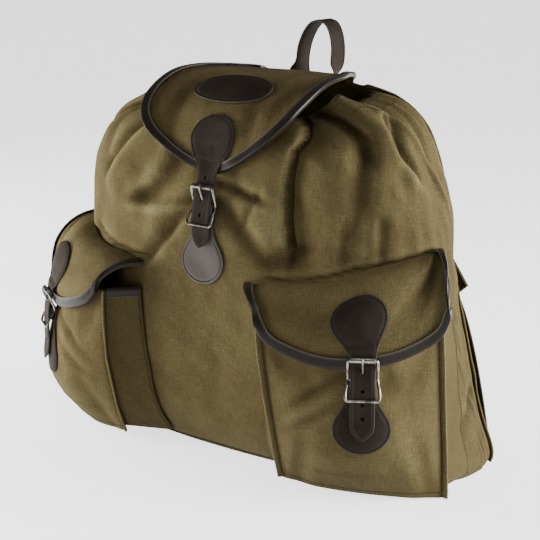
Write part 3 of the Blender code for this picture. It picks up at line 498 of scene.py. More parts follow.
# %% [markdown]
# Folds are what make it cloth. The broad dents are soft hollows, each with a place and a size. The
# pleats and creases follow paths over the surface: a path has a few points, a width on each side of
# the line, so that one side can be steep, and a depth. A crease with a negative depth is a ridge.
# Modelling them as moved vertices, rather than as bump, gives them real shadows and an outline.

# %% Folds, creases and gathers of the body
# Columns: degrees, height, half degrees, half height, depth, lean.
DENTS = (
    (-90.0, 0.1300, 17.0, 0.110, 0.0100, 0.0),
    (-90.0, 0.3280, 16.0, 0.045, 0.0155, 0.0),
    (-118.0, 0.3180, 9.0, 0.040, 0.0100, 90.0),
    (-62.5, 0.2385, 7.5, 0.017, 0.0110, 0.0),
    (-37.0, 0.3930, 6.0, 0.010, 0.0120, 0.0),
    (-40.0, 0.3450, 5.0, 0.090, 0.0130, 60.0),
    (-18.0, 0.3700, 6.0, 0.055, 0.0070, 60.0),
    (4.0, 0.3600, 6.0, 0.070, 0.0060, 60.0),
    (-140.0, 0.3550, 6.0, 0.070, 0.0090, -60.0),
    (-165.0, 0.3700, 6.0, 0.060, 0.0070, -60.0),
)
# Columns: path of (degrees, height), width before the line, width after it, depth.
CREASES = (
    (((-45.0, 0.383), (-54.2, 0.373), (-62.2, 0.3495), (-64.4, 0.314), (-64.4, 0.280), (-63.8, 0.254)),
     0.0022, 0.0230, 0.0130),
    (((-45.0, 0.383), (-54.5, 0.373), (-62.6, 0.3495), (-64.8, 0.314), (-64.8, 0.280), (-64.2, 0.262)),
     0.0017, 0.0017, 0.0050),
    (((-6.0, 0.398), (-14.0, 0.388), (-21.0, 0.377), (-24.0, 0.362), (-22.0, 0.348), (-16.6, 0.333)),
     0.0150, 0.0030, -0.0075),
    (((-8.0, 0.384), (-16.0, 0.366), (-17.0, 0.350), (-13.0, 0.336)), 0.0045, 0.0100, 0.0070),
    (((-42.0, 0.386), (-38.0, 0.373), (-36.0, 0.362), (-37.0, 0.350)), 0.0100, 0.0110, 0.0110),
    (((-12.0, 0.392), (-7.0, 0.383), (-3.0, 0.371), (1.0, 0.355), (6.0, 0.332), (10.0, 0.308),
      (13.0, 0.289)), 0.0070, 0.0040, -0.0040),
    (((-104.8, 0.337), (-105.6, 0.322), (-107.5, 0.305), (-111.0, 0.291), (-114.5, 0.283)),
     0.0090, 0.0150, 0.0135),
    (((-116.0, 0.270), (-106.5, 0.272), (-97.0, 0.279)), 0.0045, 0.0070, -0.0035),
    (((-96.0, 0.283), (-99.2, 0.270), (-104.0, 0.245), (-108.6, 0.223)), 0.0090, 0.0055, 0.0080),
    (((-87.0, 0.306), (-80.8, 0.302), (-74.6, 0.297)), 0.0035, 0.0060, 0.0060),
    (((-74.6, 0.297), (-77.0, 0.279)), 0.0040, 0.0040, 0.0030),
    (((-85.0, 0.285), (-78.0, 0.2594), (-70.6, 0.2355)), 0.0080, 0.0100, 0.0055),
    (((-48.2, 0.250), (-48.2, 0.269)), 0.0060, 0.0070, 0.0040),
    (((-42.4, 0.259), (-42.0, 0.284)), 0.0060, 0.0060, -0.0030),
    (((-35.8, 0.256), (-35.4, 0.276)), 0.0060, 0.0070, 0.0040),
    (((-154.0, 0.352), (-147.0, 0.380)), 0.0040, 0.0090, 0.0075),
    (((-133.0, 0.312), (-124.0, 0.357)), 0.0090, 0.0050, 0.0085),
    (((20.0, 0.085), (-6.0, 0.058), (-18.0, 0.028)), 0.0080, 0.0100, 0.0040),
    (((-66.4, 0.2185), (-58.4, 0.2215), (-51.4, 0.2280), (-44.2, 0.2365), (-35.6, 0.2423), (-25.6, 0.2478),
      (-13.0, 0.2520)), 0.0022, 0.0022, 0.0035),
    (((-113.6, 0.2185), (-121.6, 0.2215), (-128.6, 0.2280), (-135.8, 0.2345)), 0.0022, 0.0022, 0.0035),
)
DENT_STEEPNESS = 1.2
CREASE_FADE = 0.014
METRES_PER_DEGREE = 0.0030
GATHER_COUNT = 20
GATHER_DEPTH = 0.0035
GATHER_START = 0.78
BODY_RUMPLE, RUMPLE_CLEAR = 0.0011, 0.03
RIM_START, RIM_POWER = 0.76, 1.5
# Columns: degrees, half degrees, rise, sideways.
RIM_PEAKS = ((-23.0, 10.0, 0.0160, -0.0070), (-164.0, 27.0, 0.0125, 0.0))


def near_path(across, up, path, width_before, width_after):
    """1 on a path and falling to 0 at its sides and ends, for places given in metres."""
    path = np.array(path)
    best = np.full(across.shape, 1e9)
    signed = np.zeros(across.shape)
    past = np.zeros(across.shape)
    for number, (start, end) in enumerate(zip(path[:-1], path[1:])):
        run = end - start
        size = np.linalg.norm(run)
        run = run / size
        t = (across - start[0]) * run[0] + (up - start[1]) * run[1]
        side = (across - start[0]) * run[1] - (up - start[1]) * run[0]
        held = np.clip(t, 0.0, size)
        away = np.hypot(side, t - held)
        before_start = np.maximum(-t, 0.0) if number == 0 else 0.0
        after_end = np.maximum(t - size, 0.0) if number == len(path) - 2 else 0.0
        closer = away < best
        best = np.where(closer, away, best)
        signed = np.where(closer, side, signed)
        past = np.where(closer, before_start + after_end, past)
    sideways = np.sqrt(np.maximum(best**2 - past**2, 0.0))
    is_after = signed * np.sign(path[0][1] - path[-1][1] + 1e-9) < 0
    width = np.where(is_after, width_after, width_before)
    return np.exp(-((sideways / width) ** 2)) * np.exp(-((past / CREASE_FADE) ** 2))


def body_press(degrees, height, place):
    """How far the canvas is pressed in, over all dents, creases and gathers."""
    depth = np.zeros(height.shape)
    for at, at_height, half_degrees, half_height, amount, lean in DENTS:
        turned = (degrees - at + 180.0) % 360.0 - 180.0 - lean * (height - at_height)
        far = (turned / half_degrees) ** 2 + ((height - at_height) / half_height) ** 2
        depth += amount * np.exp(-DENT_STEEPNESS * far)
    for path, width_before, width_after, amount in CREASES:
        metric = [(at * METRES_PER_DEGREE, at_height) for at, at_height in path]
        depth += amount * near_path(degrees * METRES_PER_DEGREE, height, metric, width_before, width_after)
    gather = np.clip((place - GATHER_START) / (1.0 - GATHER_START), 0.0, None)
    depth += GATHER_DEPTH * gather * np.cos(np.radians(degrees * GATHER_COUNT))
    off_floor = np.clip(height / RUMPLE_CLEAR, 0.0, 1.0)
    return depth - BODY_RUMPLE * rumple(degrees * METRES_PER_DEGREE, height) * off_floor


def folded_body(degrees, place):
    degrees, place = np.broadcast_arrays(np.asarray(degrees, float), np.asarray(place, float))
    point = plain_body(degrees, place)
    for at, half, rise, sideways in RIM_PEAKS:
        turned = (degrees - at + 180.0) % 360.0 - 180.0
        near_rim = np.clip((place - RIM_START) / (1.0 - RIM_START), 0.0, 1.0) ** RIM_POWER
        peak = np.exp(-((turned / half) ** 2)) * near_rim
        point = point + peak[..., None] * np.array([sideways, 0.0, rise])
    along = plain_body(degrees + 0.5, place) - plain_body(degrees - 0.5, place)
    outward = unit(np.cross(along, np.array([0.0, 0.0, 1.0])))
    return point - outward * body_press(degrees, point[..., 2], place)[..., None]


def body_at(degrees, place, lift=0.0):
    """Points of the folded body, raised off the canvas along its normal."""
    point = folded_body(degrees, place)
    if np.any(lift):
        degrees, place = np.broadcast_arrays(np.asarray(degrees, float), np.asarray(place, float))
        inner = np.clip(place, 0.003, 0.997)
        normal = normals_of(folded_body, degrees, inner, 0.5, 0.003)
        point = point + normal * np.asarray(lift)[..., None]
    return point


def place_at(height):
    """Place on the body of a ring at a height, below the tilted rings."""
    low, high = (np.full(np.shape(height), ring / RINGS) for ring in LEVEL_RINGS)
    return search(low, high, lambda place: rows_at(BODY_RINGS, place * RINGS)[..., 0] < height, 24)


def front_degrees_at(x, place):
    """Degrees on the front where the body is x to the side of its middle."""
    low, high = np.full(np.shape(x), -180.0), np.zeros(np.shape(x))
    return search(low, high, lambda degrees: folded_body(degrees, place)[..., 0] < x)


def body_front_at(x, height, lift):
    x, height = np.broadcast_arrays(np.asarray(x, float), np.asarray(height, float))
    place = place_at(height)
    return body_at(front_degrees_at(x, place), place, lift)


front = body_front_at(0.0, 0.2, 0.0)
print("front of the body at 200 mm up:", front.round(4))

# %% [markdown]
# The wrap is laid out with its columns every few millimetres round the bag and its rows spread
# evenly along the cloth. Its UV map is the cloth laid flat: arc length one way and the length of the
# middle column the other. Columns lie closer where the camera sees the folds. A Solidify modifier
# gives the canvas its 2 mm.

# %% The body's three panels
SEAM_DEGREES = 38.0
WRAP_COLUMNS, WRAP_ROWS = 396, 118
WRAP_CLOSE = (-116.0, 20.0)
CLOSE_GAIN = 1.8
BACK_COLUMNS, BACK_ROWS = 150, 90
BACK_LIFT = CANVAS + 0.0004
BACK_START = 2.0 / RINGS
BACK_LAP = 2.4
FLANGE_LIFT, FLANGE_DEGREES = 0.0022, 1.2
BROAD_RELIEF_SHADE, FINE_RELIEF_SHADE = (9, 0.0060), (2, 0.0011)
BASE_COLUMNS, BASE_ROWS = 121, 12
BASE_MIDDLE = (0.0, 0.03, 0.0)


def body_sheet(degrees, places, lift):
    """Points, UV map and relief of a panel of the body: painted shade in its folds, painted light on its
    ridges.
    """
    turned, placed = np.meshgrid(degrees, places, indexing="ij")
    points = body_at(turned, placed, lift)
    middle = np.argmin(np.abs(places - 0.5))
    round_it = lengths(points[:, middle][None])[0]
    up_it = lengths(points[len(degrees) // 2][None])[0]
    uv = np.stack(np.broadcast_arrays(round_it[:, None], up_it[None, :]), -1)
    # Painted shade in the body's dents and creases and painted light on its ridges, from how deep each
    # place is pressed.
    press = -body_press(turned, points[..., 2], placed)
    return points, uv, 0.5 * relief_of(press, *BROAD_RELIEF_SHADE) + 0.5 * relief_of(press, *FINE_RELIEF_SHADE)


def even_places(start, end, count, degrees=-62.0):
    """Places whose rows lie evenly along the cloth."""
    fine = np.linspace(start, end, 400)
    run = lengths(plain_body(degrees, fine)[None])[0]
    return np.interp(np.linspace(0.0, run[-1], count), run, fine)


fine = np.linspace(-180.0 - SEAM_DEGREES, SEAM_DEGREES, 2000)
density = np.where((fine > WRAP_CLOSE[0]) & (fine < WRAP_CLOSE[1]), CLOSE_GAIN, 1.0)
crowd = np.cumsum(density) - density[0]
wrap_degrees = np.interp(np.linspace(0.0, crowd[-1], WRAP_COLUMNS), crowd, fine)
wrap_places = even_places(0.0, 1.0, WRAP_ROWS)
canvas_sheet("canvas_body", *body_sheet(wrap_degrees, wrap_places, 0.0), "body_wrap")

back_degrees = np.linspace(SEAM_DEGREES - BACK_LAP, 180.0 - SEAM_DEGREES + BACK_LAP, BACK_COLUMNS)
back_places = even_places(BACK_START, 1.0, BACK_ROWS, 90.0)
to_edge = np.minimum(back_degrees - back_degrees[0], back_degrees[-1] - back_degrees)
flare = FLANGE_LIFT * np.exp(-((to_edge / FLANGE_DEGREES) ** 2))
back_lift = BACK_LIFT + flare[:, None] * np.ones(BACK_ROWS)
canvas_sheet("canvas_back", *body_sheet(back_degrees, back_places, back_lift), "back_panel")

turned, shares = np.meshgrid(np.linspace(0.0, 360.0, BASE_COLUMNS), np.linspace(1.0, 0.02, BASE_ROWS),
                             indexing="ij")
ring = plain_body(turned, 1.0 / RINGS)
points = ring * shares[..., None] + np.array(BASE_MIDDLE) * (1.0 - shares[..., None])
points[..., 2] = 0.0
canvas_sheet("canvas_base", points, points[..., :2], np.full(shares.shape, 0.45), "base_panel",
             weld=True, side=1.0)

# %% [markdown]
# Stitches are real pieces of thread. Each is a short capsule, and its two ends dip into the leather
# or cloth. A seam is a line of them at an even pitch, made by copying one capsule along the line with
# numpy and joining the copies in one mesh.

# %% A sewing helper
STITCH_PITCH = 0.0032
STITCH_LENGTH = 0.0023
THREAD_RADIUS, FINE_THREAD = 0.00048, 0.00034
HEM_PLACES = (0.975, 0.930)
SEAM_LINES = (37.6, 142.4)


def spaced(path, pitch):
    """Points at an even pitch along a line of points, and the direction there."""
    run = lengths(path[None])[0]
    count = max(int(run[-1] / pitch), 1)
    stops = (np.arange(count) + 0.5) * run[-1] / count
    behind, point, ahead = (
        np.stack([np.interp(stops + shift, run, path[:, axis]) for axis in range(3)], -1)
        for shift in (-0.0005, 0.0, 0.0005))
    return point, unit(ahead - behind), stops / run[-1]


def sew(name, seams, slot="leather", pitch=STITCH_PITCH, length=STITCH_LENGTH, radius=THREAD_RADIUS):
    """One mesh of stitches along seams, each a line of points and the outward normals there."""
    sides = 6
    stations = np.array([-1.0, -0.72, 0.0, 0.72, 1.0])
    swell = np.array([0.05, 0.80, 1.0, 0.80, 0.05])
    rise = np.array([-0.9, 0.1, 0.55, 0.1, -0.9])
    turns = np.arange(sides) * math.tau / sides
    vertices, faces = [], []
    for path, normals in seams:
        centre, direction, share = spaced(path, pitch)
        places = np.linspace(0.0, 1.0, len(normals))
        outward = unit(np.stack([np.interp(share, places, normals[:, axis]) for axis in range(3)], -1))
        across = unit(np.cross(direction, outward))
        outward = np.cross(across, direction)
        for c, d, a, o in zip(centre, direction, across, outward):
            start = len(vertices)
            for t, s, r in zip(stations, swell, rise):
                middle = c + d * (t * length / 2) + o * (r * radius)
                for turned_by in turns:
                    spoke = a * math.cos(turned_by) + o * math.sin(turned_by)
                    vertices.append(middle + spoke * radius * s)
            for row in range(len(stations) - 1):
                for side in range(sides):
                    low, high = start + row * sides, start + (row + 1) * sides
                    near, far = side, (side + 1) % sides
                    faces.append((low + near, low + far, high + far, high + near))
            faces.append(tuple(start + side for side in reversed(range(sides))))
            faces.append(tuple(start + (len(stations) - 1) * sides + side for side in range(sides)))
    mesh = bpy.data.meshes.new(name)
    mesh.from_pydata([tuple(v) for v in vertices], [], faces)
    show(name, mesh, THREAD_FINISH, slot)


def body_seam(degrees, places, lift):
    degrees, places = np.broadcast_arrays(np.asarray(degrees, float), np.asarray(places, float))
    path = body_at(degrees, places, lift * np.ones(degrees.shape))
    outer = body_at(degrees, places, (lift + 0.001) * np.ones(degrees.shape))
    return path, unit(outer - path)


hem_degrees = np.linspace(-216.0, 36.0, 500)
hem = [body_seam(hem_degrees, place, 0.0) for place in HEM_PLACES]
edges = [body_seam(degrees, np.linspace(0.16, 0.98, 200), BACK_LIFT + 0.0002) for degrees in SEAM_LINES]
sew("body_stitches", hem + edges, "canvas", radius=FINE_THREAD)

# %% [markdown]
# The lid is one flap, sewn across the top of the back panel and falling over the mouth to a rounded
# tip. Its table runs from the sewn edge to the tip. Its grid is laid out from the rim inwards, so that
# the leather that is folded round the rim can follow the same rows.

# %% The lid's surface
# Columns: y, z, half width, side forward, side drop.
LID_STATIONS = (
    (0.1034, 0.3870, 0.062, 0.000, 0.000),
    (0.1034, 0.4020, 0.064, 0.000, 0.000),
    (0.0968, 0.4125, 0.070, 0.000, 0.001),
    (0.0720, 0.4168, 0.082, 0.000, 0.001),
    (0.0360, 0.4185, 0.099, 0.000, 0.001),
    (0.0000, 0.4158, 0.107, 0.000, 0.001),
    (-0.0260, 0.4065, 0.109, 0.000, 0.001),
    (-0.0460, 0.3930, 0.107, 0.002, 0.000),
    (-0.0580, 0.3790, 0.101, 0.006, 0.000),
    (-0.0645, 0.3620, 0.086, 0.010, 0.000),
    (-0.0660, 0.3470, 0.066, 0.010, 0.000),
    (-0.0655, 0.3340, 0.044, 0.008, 0.000),
    (-0.0645, 0.3240, 0.023, 0.004, 0.000),
    (-0.0640, 0.3170, 0.000, 0.000, 0.000),
)
LID_TIP = 13.0
LID_HEART = 0.75
BINDING_REACH = 0.0100
TRIM_STEPS = (0.0, 0.0021, 0.0043, 0.0064, BINDING_REACH)
# Columns: x, station, half x, half station, depth, lean.
LID_DENTS = (
    (-0.058, 7.4, 0.014, 2.4, 0.0045, 0.0),
    (0.050, 8.2, 0.013, 1.8, 0.0040, 0.0),
    (0.078, 6.4, 0.012, 2.0, 0.0025, 0.0),
    (-0.030, 3.6, 0.030, 0.9, 0.0025, 0.0),
    (0.045, 3.4, 0.026, 0.8, 0.0020, 0.0),
)
LID_RUMPLE, LID_TAB_HALF = 0.0006, 0.05
STATION_LENGTH = 0.022
LID_RELIEF_SHADE = (0.56, 100.0)


def lid_bare(x, station):
    row = np.moveaxis(rows_at(LID_STATIONS, station), -1, 0)
    y, z, half_width, forward, drop = row
    ahead, behind = rows_at(LID_STATIONS, station + 0.05), rows_at(LID_STATIONS, station - 0.05)
    run = unit(np.stack([ahead[..., 0] - behind[..., 0], ahead[..., 1] - behind[..., 1]], -1))
    across = x / np.maximum(half_width, 0.004)
    point = np.stack([x + 0.0 * y, y - forward * across**2, z - drop * across**2], -1)
    outward = np.stack([np.zeros_like(y), run[..., 1], -run[..., 0]], -1)
    return point, outward, across


def lid_at(x, station, lift=0.0):
    """Points of the lid's outer surface, x to the side of its middle at a place in its table."""
    x, station = np.broadcast_arrays(np.asarray(x, float), np.asarray(station, float))
    point, outward, _ = lid_bare(x, station)
    clear_of_tab = 1.0 - np.exp(-((x / LID_TAB_HALF) ** 2))
    soft = LID_RUMPLE * rumple(x, station * STATION_LENGTH + 1.0) * clear_of_tab
    press = dented(x, station, LID_DENTS) - soft
    return point + outward * (np.asarray(lift) - press)[..., None]


def inward(surface, rim, hearts, samples=60):
    """Lays lines over a surface from its rim to its heart, and reads them by distance or share."""
    shares = np.linspace(0.0, 1.0, samples) ** 1.5
    laid = rim[:, None] + (hearts - rim)[:, None] * shares[:, None]
    run = lengths(surface(laid[..., 0], laid[..., 1]))

    def at(distances, from_share=()):
        """Grid of (first, second) at distances from the rim, then at shares of what is left."""
        columns = []
        for number, column in enumerate(run):
            total = column[-1]
            start = distances[-1] if len(distances) else 0.0
            stops = list(distances) + [start + (total - start) * share for share in from_share]
            share = np.interp(stops, column, shares)
            columns.append(rim[number] + (hearts[number] - rim[number]) * share[:, None])
        return np.array(columns)

    return at


near_tip = LID_TIP - np.geomspace(0.92, 0.02, 20)
right_stations = np.concatenate([np.linspace(0.0, LID_TIP - 1.0, 92), near_tip])
right_rim = np.stack([rows_at(LID_STATIONS, right_stations)[:, 2], right_stations], -1)
left_rim = right_rim * np.array([-1.0, 1.0])
lid_rim = np.concatenate([left_rim, [[0.0, LID_TIP]], right_rim[::-1]])
lid_hearts = np.stack([np.zeros(len(lid_rim)), lid_rim[:, 1] * LID_HEART], -1)
lid_lines = inward(lid_at, lid_rim, lid_hearts)
lid_places = lid_lines(TRIM_STEPS, np.linspace(0.0, 1.0, 27)[1:])
points = lid_at(lid_places[..., 0], lid_places[..., 1])
flat = lid_bare(lid_places[..., 0], lid_places[..., 1])[0]
fine_stations = np.linspace(0.0, LID_TIP, 400)
station_run = lengths(lid_at(np.zeros(400), fine_stations)[None])[0]
uv = np.stack([lid_places[..., 0], np.interp(lid_places[..., 1], fine_stations, station_run)], -1)
# Painted shade: the lid's colour darkens where its dents sink below the plain surface and lightens where
# it rises.
raised = np.linalg.norm(points - flat, axis=-1) * np.sign((points - flat)[..., 2])
relief_shade = np.clip(LID_RELIEF_SHADE[0] + raised * LID_RELIEF_SHADE[1], 0.0, 1.0)
canvas_sheet("canvas_lid", points, uv, relief_shade, "lid", weld=True)
print("lid is", round(station_run[-1] * 1000), "mm long from seam to tip")

# %% [markdown]
# The trim on the lid's edge is a strip of leather folded over the canvas and sewn through. Its
# section is a thin U with a rounded back, pressed down a little along the stitches. The section is
# swept along the rim: at each column, three points of the canvas and its normals say where to go.

# %% A leather binding
STITCH_INSET = 0.0072
BINDING_GAP = 0.0004


def binding_section():
    """The U of the binding: distance in from the rim, height over the canvas's face, and edge mark."""
    top, under = BINDING_GAP, -CANVAS - BINDING_GAP
    reach, thick = BINDING_REACH, BINDING
    section = [
        (reach, top, 1.0), (reach, top + thick * 0.7, 1.0), (reach - 0.0005, top + thick, 0.55),
        (reach - 0.0013, top + thick * 0.96, 0.0), (STITCH_INSET, top + thick * 0.78, 0.55),
        (STITCH_INSET - 0.0016, top + thick * 1.02, 0.25), (0.0022, top + thick * 1.12, 0.0),
    ]
    middle = (top + thick + under - thick) / 2
    radius = (top + thick - under + thick) / 2
    for degrees in (70, 45, 20, 0, -20, -45, -70):
        turned = math.radians(degrees)
        section.append((-0.6 * radius * math.cos(turned), middle + radius * math.sin(turned), 0.0))
    section += [
        (0.0022, under - thick, 0.0), (STITCH_INSET, under - thick * 0.85, 0.0),
        (reach, under - thick, 1.0), (reach, under, 1.0), (0.0, under, 0.0),
        (0.0, top, 0.0), (reach, top, 1.0),
    ]
    return np.array(section)


def swept(name, points, marks, finish, slot, nodes):
    """A mesh from a closed section swept along columns: points is (columns, section points, 3)."""
    run = lengths(points[:, 0][None])[0]
    round_it = lengths(points[len(points) // 2][None])[0]
    uv = np.stack(np.broadcast_arrays(run[:, None], round_it[None, :]), -1)
    mesh = grid_mesh(name, points, uv, attributes={"edge": marks})
    form = bmesh.new()
    form.from_mesh(mesh)
    bmesh.ops.remove_doubles(form, verts=form.verts, dist=WELD)
    rim = [edge for edge in form.edges if edge.is_boundary]
    bmesh.ops.holes_fill(form, edges=rim, sides=0)
    bmesh.ops.recalc_face_normals(form, faces=form.faces)
    form.to_mesh(mesh)
    form.free()
    return show(name, mesh, finish, slot, nodes)


def through(first, middle, last, t):
    """Points of the smooth curve through three points."""
    return first * (1 - t) * (1 - 2 * t) + middle * 4 * t * (1 - t) + last * t * (2 * t - 1)


def bind(name, surface, lines, steps, nodes, skipped=0, is_left=False):
    """Folds leather round the rim of a sheet and sews it."""
    places = lines([0.0, BINDING_REACH * 0.5, BINDING_REACH])
    places = places[skipped : len(places) - skipped]
    first, second = places[..., 0], places[..., 1]
    at = surface(first, second)
    normals = [normals_of(surface, first, second, *both_steps) for both_steps in steps]
    normal = unit(np.median(normals, axis=0))
    into = unit(at[:, 1] - at[:, 0])
    section = binding_section()
    t = np.clip(section[:, 0] / BINDING_REACH, 0.0, 1.0)[:, None]
    columns = []
    for column in range(len(at)):
        outward = unit(normal[column, 0] * (1 - t) + normal[column, 2] * t)
        past = np.minimum(section[:, 0], 0.0)[:, None] * into[column]
        columns.append(through(*at[column], t) + past + outward * section[:, 1][:, None])
    points = mirrored(np.array(columns), is_left)
    marks = np.tile(section[:, 2], (len(points), 1))
    swept(name, points, marks, BINDING_FINISH, "leather", nodes)
    seam = through(at[:, 0], at[:, 1], at[:, 2], STITCH_INSET / BINDING_REACH)
    seam = seam + normal[:, 1] * (BINDING_GAP + BINDING * 0.78)
    sew(name + "_stitches", [(mirrored(seam, is_left)[1:-1], mirrored(normal[:, 1], is_left)[1:-1])])


bind("lid_trim", lid_at, lid_lines, [(0.002, 0.1), (0.001, 0.05)], ["lid_binding"], skipped=13)

# %% [markdown]
# Each bellows pocket has its own frame: along the bag's corner, out from it, and up. The front panel
# bulges between its two side seams, which are pinched: the raw edges of front and gusset are sewn
# together a few millimetres in and stand out as a flange. The gusset is one strip round both sides
# and the floor, and folds inwards a little between the pocket's front and the bag.

# %% The pockets' surfaces
POCKET_ANGLE = math.radians(33.0)
POCKET_BACK = 0.100
POCKET_RIM = 0.183
POCKET_FLANGE = 0.005
# Columns: z, inner along, inner out, outer along, outer out.
POCKET_EDGES = np.array((
    (0.0090, 0.102, 0.054, 0.270, 0.078),
    (0.0400, 0.098, 0.064, 0.269, 0.079),
    (0.1000, 0.090, 0.076, 0.266, 0.080),
    (0.1500, 0.084, 0.080, 0.264, 0.080),
    (0.1830, 0.082, 0.080, 0.262, 0.078),
))
POCKET_BULGE = np.array((
    (0.0040, 0.0170), (0.0300, 0.0380), (0.0550, 0.0465), (0.0810, 0.0465),
    (0.1000, 0.0430), (0.1386, 0.0350), (0.1530, 0.0298), (0.1830, 0.0240),
))
POCKET_ROOT_X = np.array(((0.009, 0.072), (0.060, 0.080), (0.183, 0.086)))
POCKET_ROOT_DEGREES = np.array(((0.009, -11.0), (0.183, 3.0)))
POCKET_FLOOR = 0.0110
POCKET_SEAT = 0.0032
POCKET_SEAM_GAP = 0.0015
# Columns: across, z, half across, half z, depth, lean.
POCKET_DENTS = (
    (0.12, 0.150, 0.10, 0.022, 0.0050, -2.0),
    (0.29, 0.121, 0.055, 0.024, 0.0042, 7.4),
    (0.26, 0.093, 0.050, 0.020, 0.0030, 7.9),
    (0.71, 0.132, 0.070, 0.016, 0.0040, 0.0),
    (0.86, 0.135, 0.09, 0.030, 0.0035, 2.0),
    (0.14, 0.040, 0.06, 0.040, 0.0045, 1.5),
    (0.50, 0.030, 0.30, 0.012, 0.0020, 0.0),
    (0.88, 0.050, 0.05, 0.045, 0.0030, -1.0),
)
POCKET_RUMPLE = 0.0008
POCKET_SLANT, POCKET_SLANT_TOP, POCKET_SLANT_MIDDLE = 0.0080, 0.060, 0.6
POCKET_BULGE_POWER = 2.3
POCKET_TAB_ACROSS = (0.55, 0.16)
SEAM_REACH = 0.06
FLANGE_TURN = 0.55
LEFT_RUMPLE_SHIFT = 3.0


def pocket_world(along, out, z):
    """From the right pocket's frame to the bag's."""
    c, s = math.cos(POCKET_ANGLE), math.sin(POCKET_ANGLE)
    return np.stack(np.broadcast_arrays(along * c + out * s, along * s - out * c - POCKET_BACK, z), -1)


def pocket_local(point):
    c, s = math.cos(POCKET_ANGLE), math.sin(POCKET_ANGLE)
    y = point[..., 1] + POCKET_BACK
    return np.stack([point[..., 0] * c + y * s, point[..., 0] * s - y * c, point[..., 2]], -1)


def read(table, key, column=1):
    return np.interp(key, table[:, 0], table[:, column])


def pocket_bulge(across, z):
    side = np.minimum(np.abs(2 * across - 1), 1.0)
    return read(POCKET_BULGE, z) * (1.0 - side**POCKET_BULGE_POWER)


def pocket_front(across, z, lift=0.0, is_left=False):
    """The pocket's front panel, from 0 at the inner seam to 1 at the outer one."""
    across, z = np.broadcast_arrays(np.asarray(across, float), np.asarray(z, float))
    z = z + POCKET_SLANT * (POCKET_SLANT_MIDDLE - across) * np.clip(1.0 - z / POCKET_SLANT_TOP, 0.0, 1.0)
    edges = [read(POCKET_EDGES, z, column) for column in range(1, 5)]
    inner_along, inner_out, outer_along, outer_out = edges
    along = inner_along + (outer_along - inner_along) * across
    out = inner_out + (outer_out - inner_out) * across
    out = out + pocket_bulge(across, z)
    away = 1.0 - np.exp(-((np.minimum(across, 1.0 - across).clip(0.0) / SEAM_REACH) ** 2))
    out = out - dented(across, z, POCKET_DENTS) * away
    middle, half = POCKET_TAB_ACROSS
    clear_of_tab = 1.0 - 0.8 * np.exp(-(((across - middle) / half) ** 2))
    shift = LEFT_RUMPLE_SHIFT if is_left else 0.0
    out = out + POCKET_RUMPLE * rumple(along + shift, z) * away * clear_of_tab
    beyond = np.maximum(np.maximum(-across, across - 1.0), 0.0) * (outer_along - inner_along)
    out = out + FLANGE_TURN * beyond
    return pocket_world(along, out + lift, z)


def side_body(degrees, place, lift, is_left):
    """The body under a pocket; for the left one, the left side of the bag seen in the mirror."""
    if not is_left:
        return body_at(degrees, place, lift)
    return body_at(-180.0 - degrees, place, lift) * MIRROR


def side_degrees_at(x, place, is_left):
    low, high = np.full(np.shape(x), -150.0), np.zeros(np.shape(x))
    return search(low, high, lambda degrees: side_body(degrees, place, 0.0, is_left)[..., 0] < x)


print("the right pocket's front, 120 mm up, is at", pocket_front(0.5, 0.12).round(3))

# %% [markdown]
# The gusset's grid follows a path down the inner side, along the floor and up the outer side. Across
# it, each column runs from the bag to the front panel, with a soft fold between. Where a stitched
# line fastens it to the bag, a dark row of thread shows.

# %% The pockets
FRONT_COLUMNS, FRONT_ROWS = 110, 96
GUSSET_STEPS, GUSSET_DOWN, GUSSET_ALONG = 13, 46, 44
GUSSET_SET_IN = 0.012
BELLOWS, BELLOWS_RUMPLE = 0.0045, 0.00063
BELLOWS_SIDES = 3.6
FRONT_WIDTH, FLANGE_WIDTH, GUSSET_DEPTH = 0.19, 0.18, 0.09
SEAM_SHADE, SEAM_SHADE_AT, SEAM_SHADE_HALF = 0.95, 0.010, 0.009
BOTTOM_SEAM = 0.0095
RIM_SAMPLES = 24


def pocket_gusset(is_left):
    """Ends of the gusset's columns on the bag and on the front, down, along and up again."""
    down = np.linspace(POCKET_RIM, POCKET_FLOOR + 0.002, GUSSET_DOWN)
    place = place_at(down)
    raised = np.full(GUSSET_DOWN, POCKET_SEAT)
    inner = side_body(side_degrees_at(read(POCKET_ROOT_X, down), place, is_left), place, raised, is_left)
    outer = side_body(read(POCKET_ROOT_DEGREES, down), place, raised, is_left)
    share = np.linspace(0.0, 1.0, GUSSET_ALONG)
    floor_place = place_at(np.full(GUSSET_ALONG, POCKET_FLOOR))
    start = side_degrees_at(np.full(GUSSET_ALONG, POCKET_ROOT_X[0, 1]), floor_place, is_left)
    degrees = start + (POCKET_ROOT_DEGREES[0, 1] - start) * share
    floor = side_body(degrees, floor_place, np.full(GUSSET_ALONG, POCKET_SEAT), is_left)
    under = -CANVAS - POCKET_SEAM_GAP
    across = GUSSET_SET_IN + (1.0 - 2.0 * GUSSET_SET_IN) * share
    fronts = np.concatenate([
        pocket_front(GUSSET_SET_IN, down, under, is_left),
        pocket_front(across, POCKET_FLOOR, under, is_left),
        pocket_front(1.0 - GUSSET_SET_IN, down, under, is_left)[::-1],
    ])
    return np.concatenate([inner, floor, outer[::-1]]), fronts


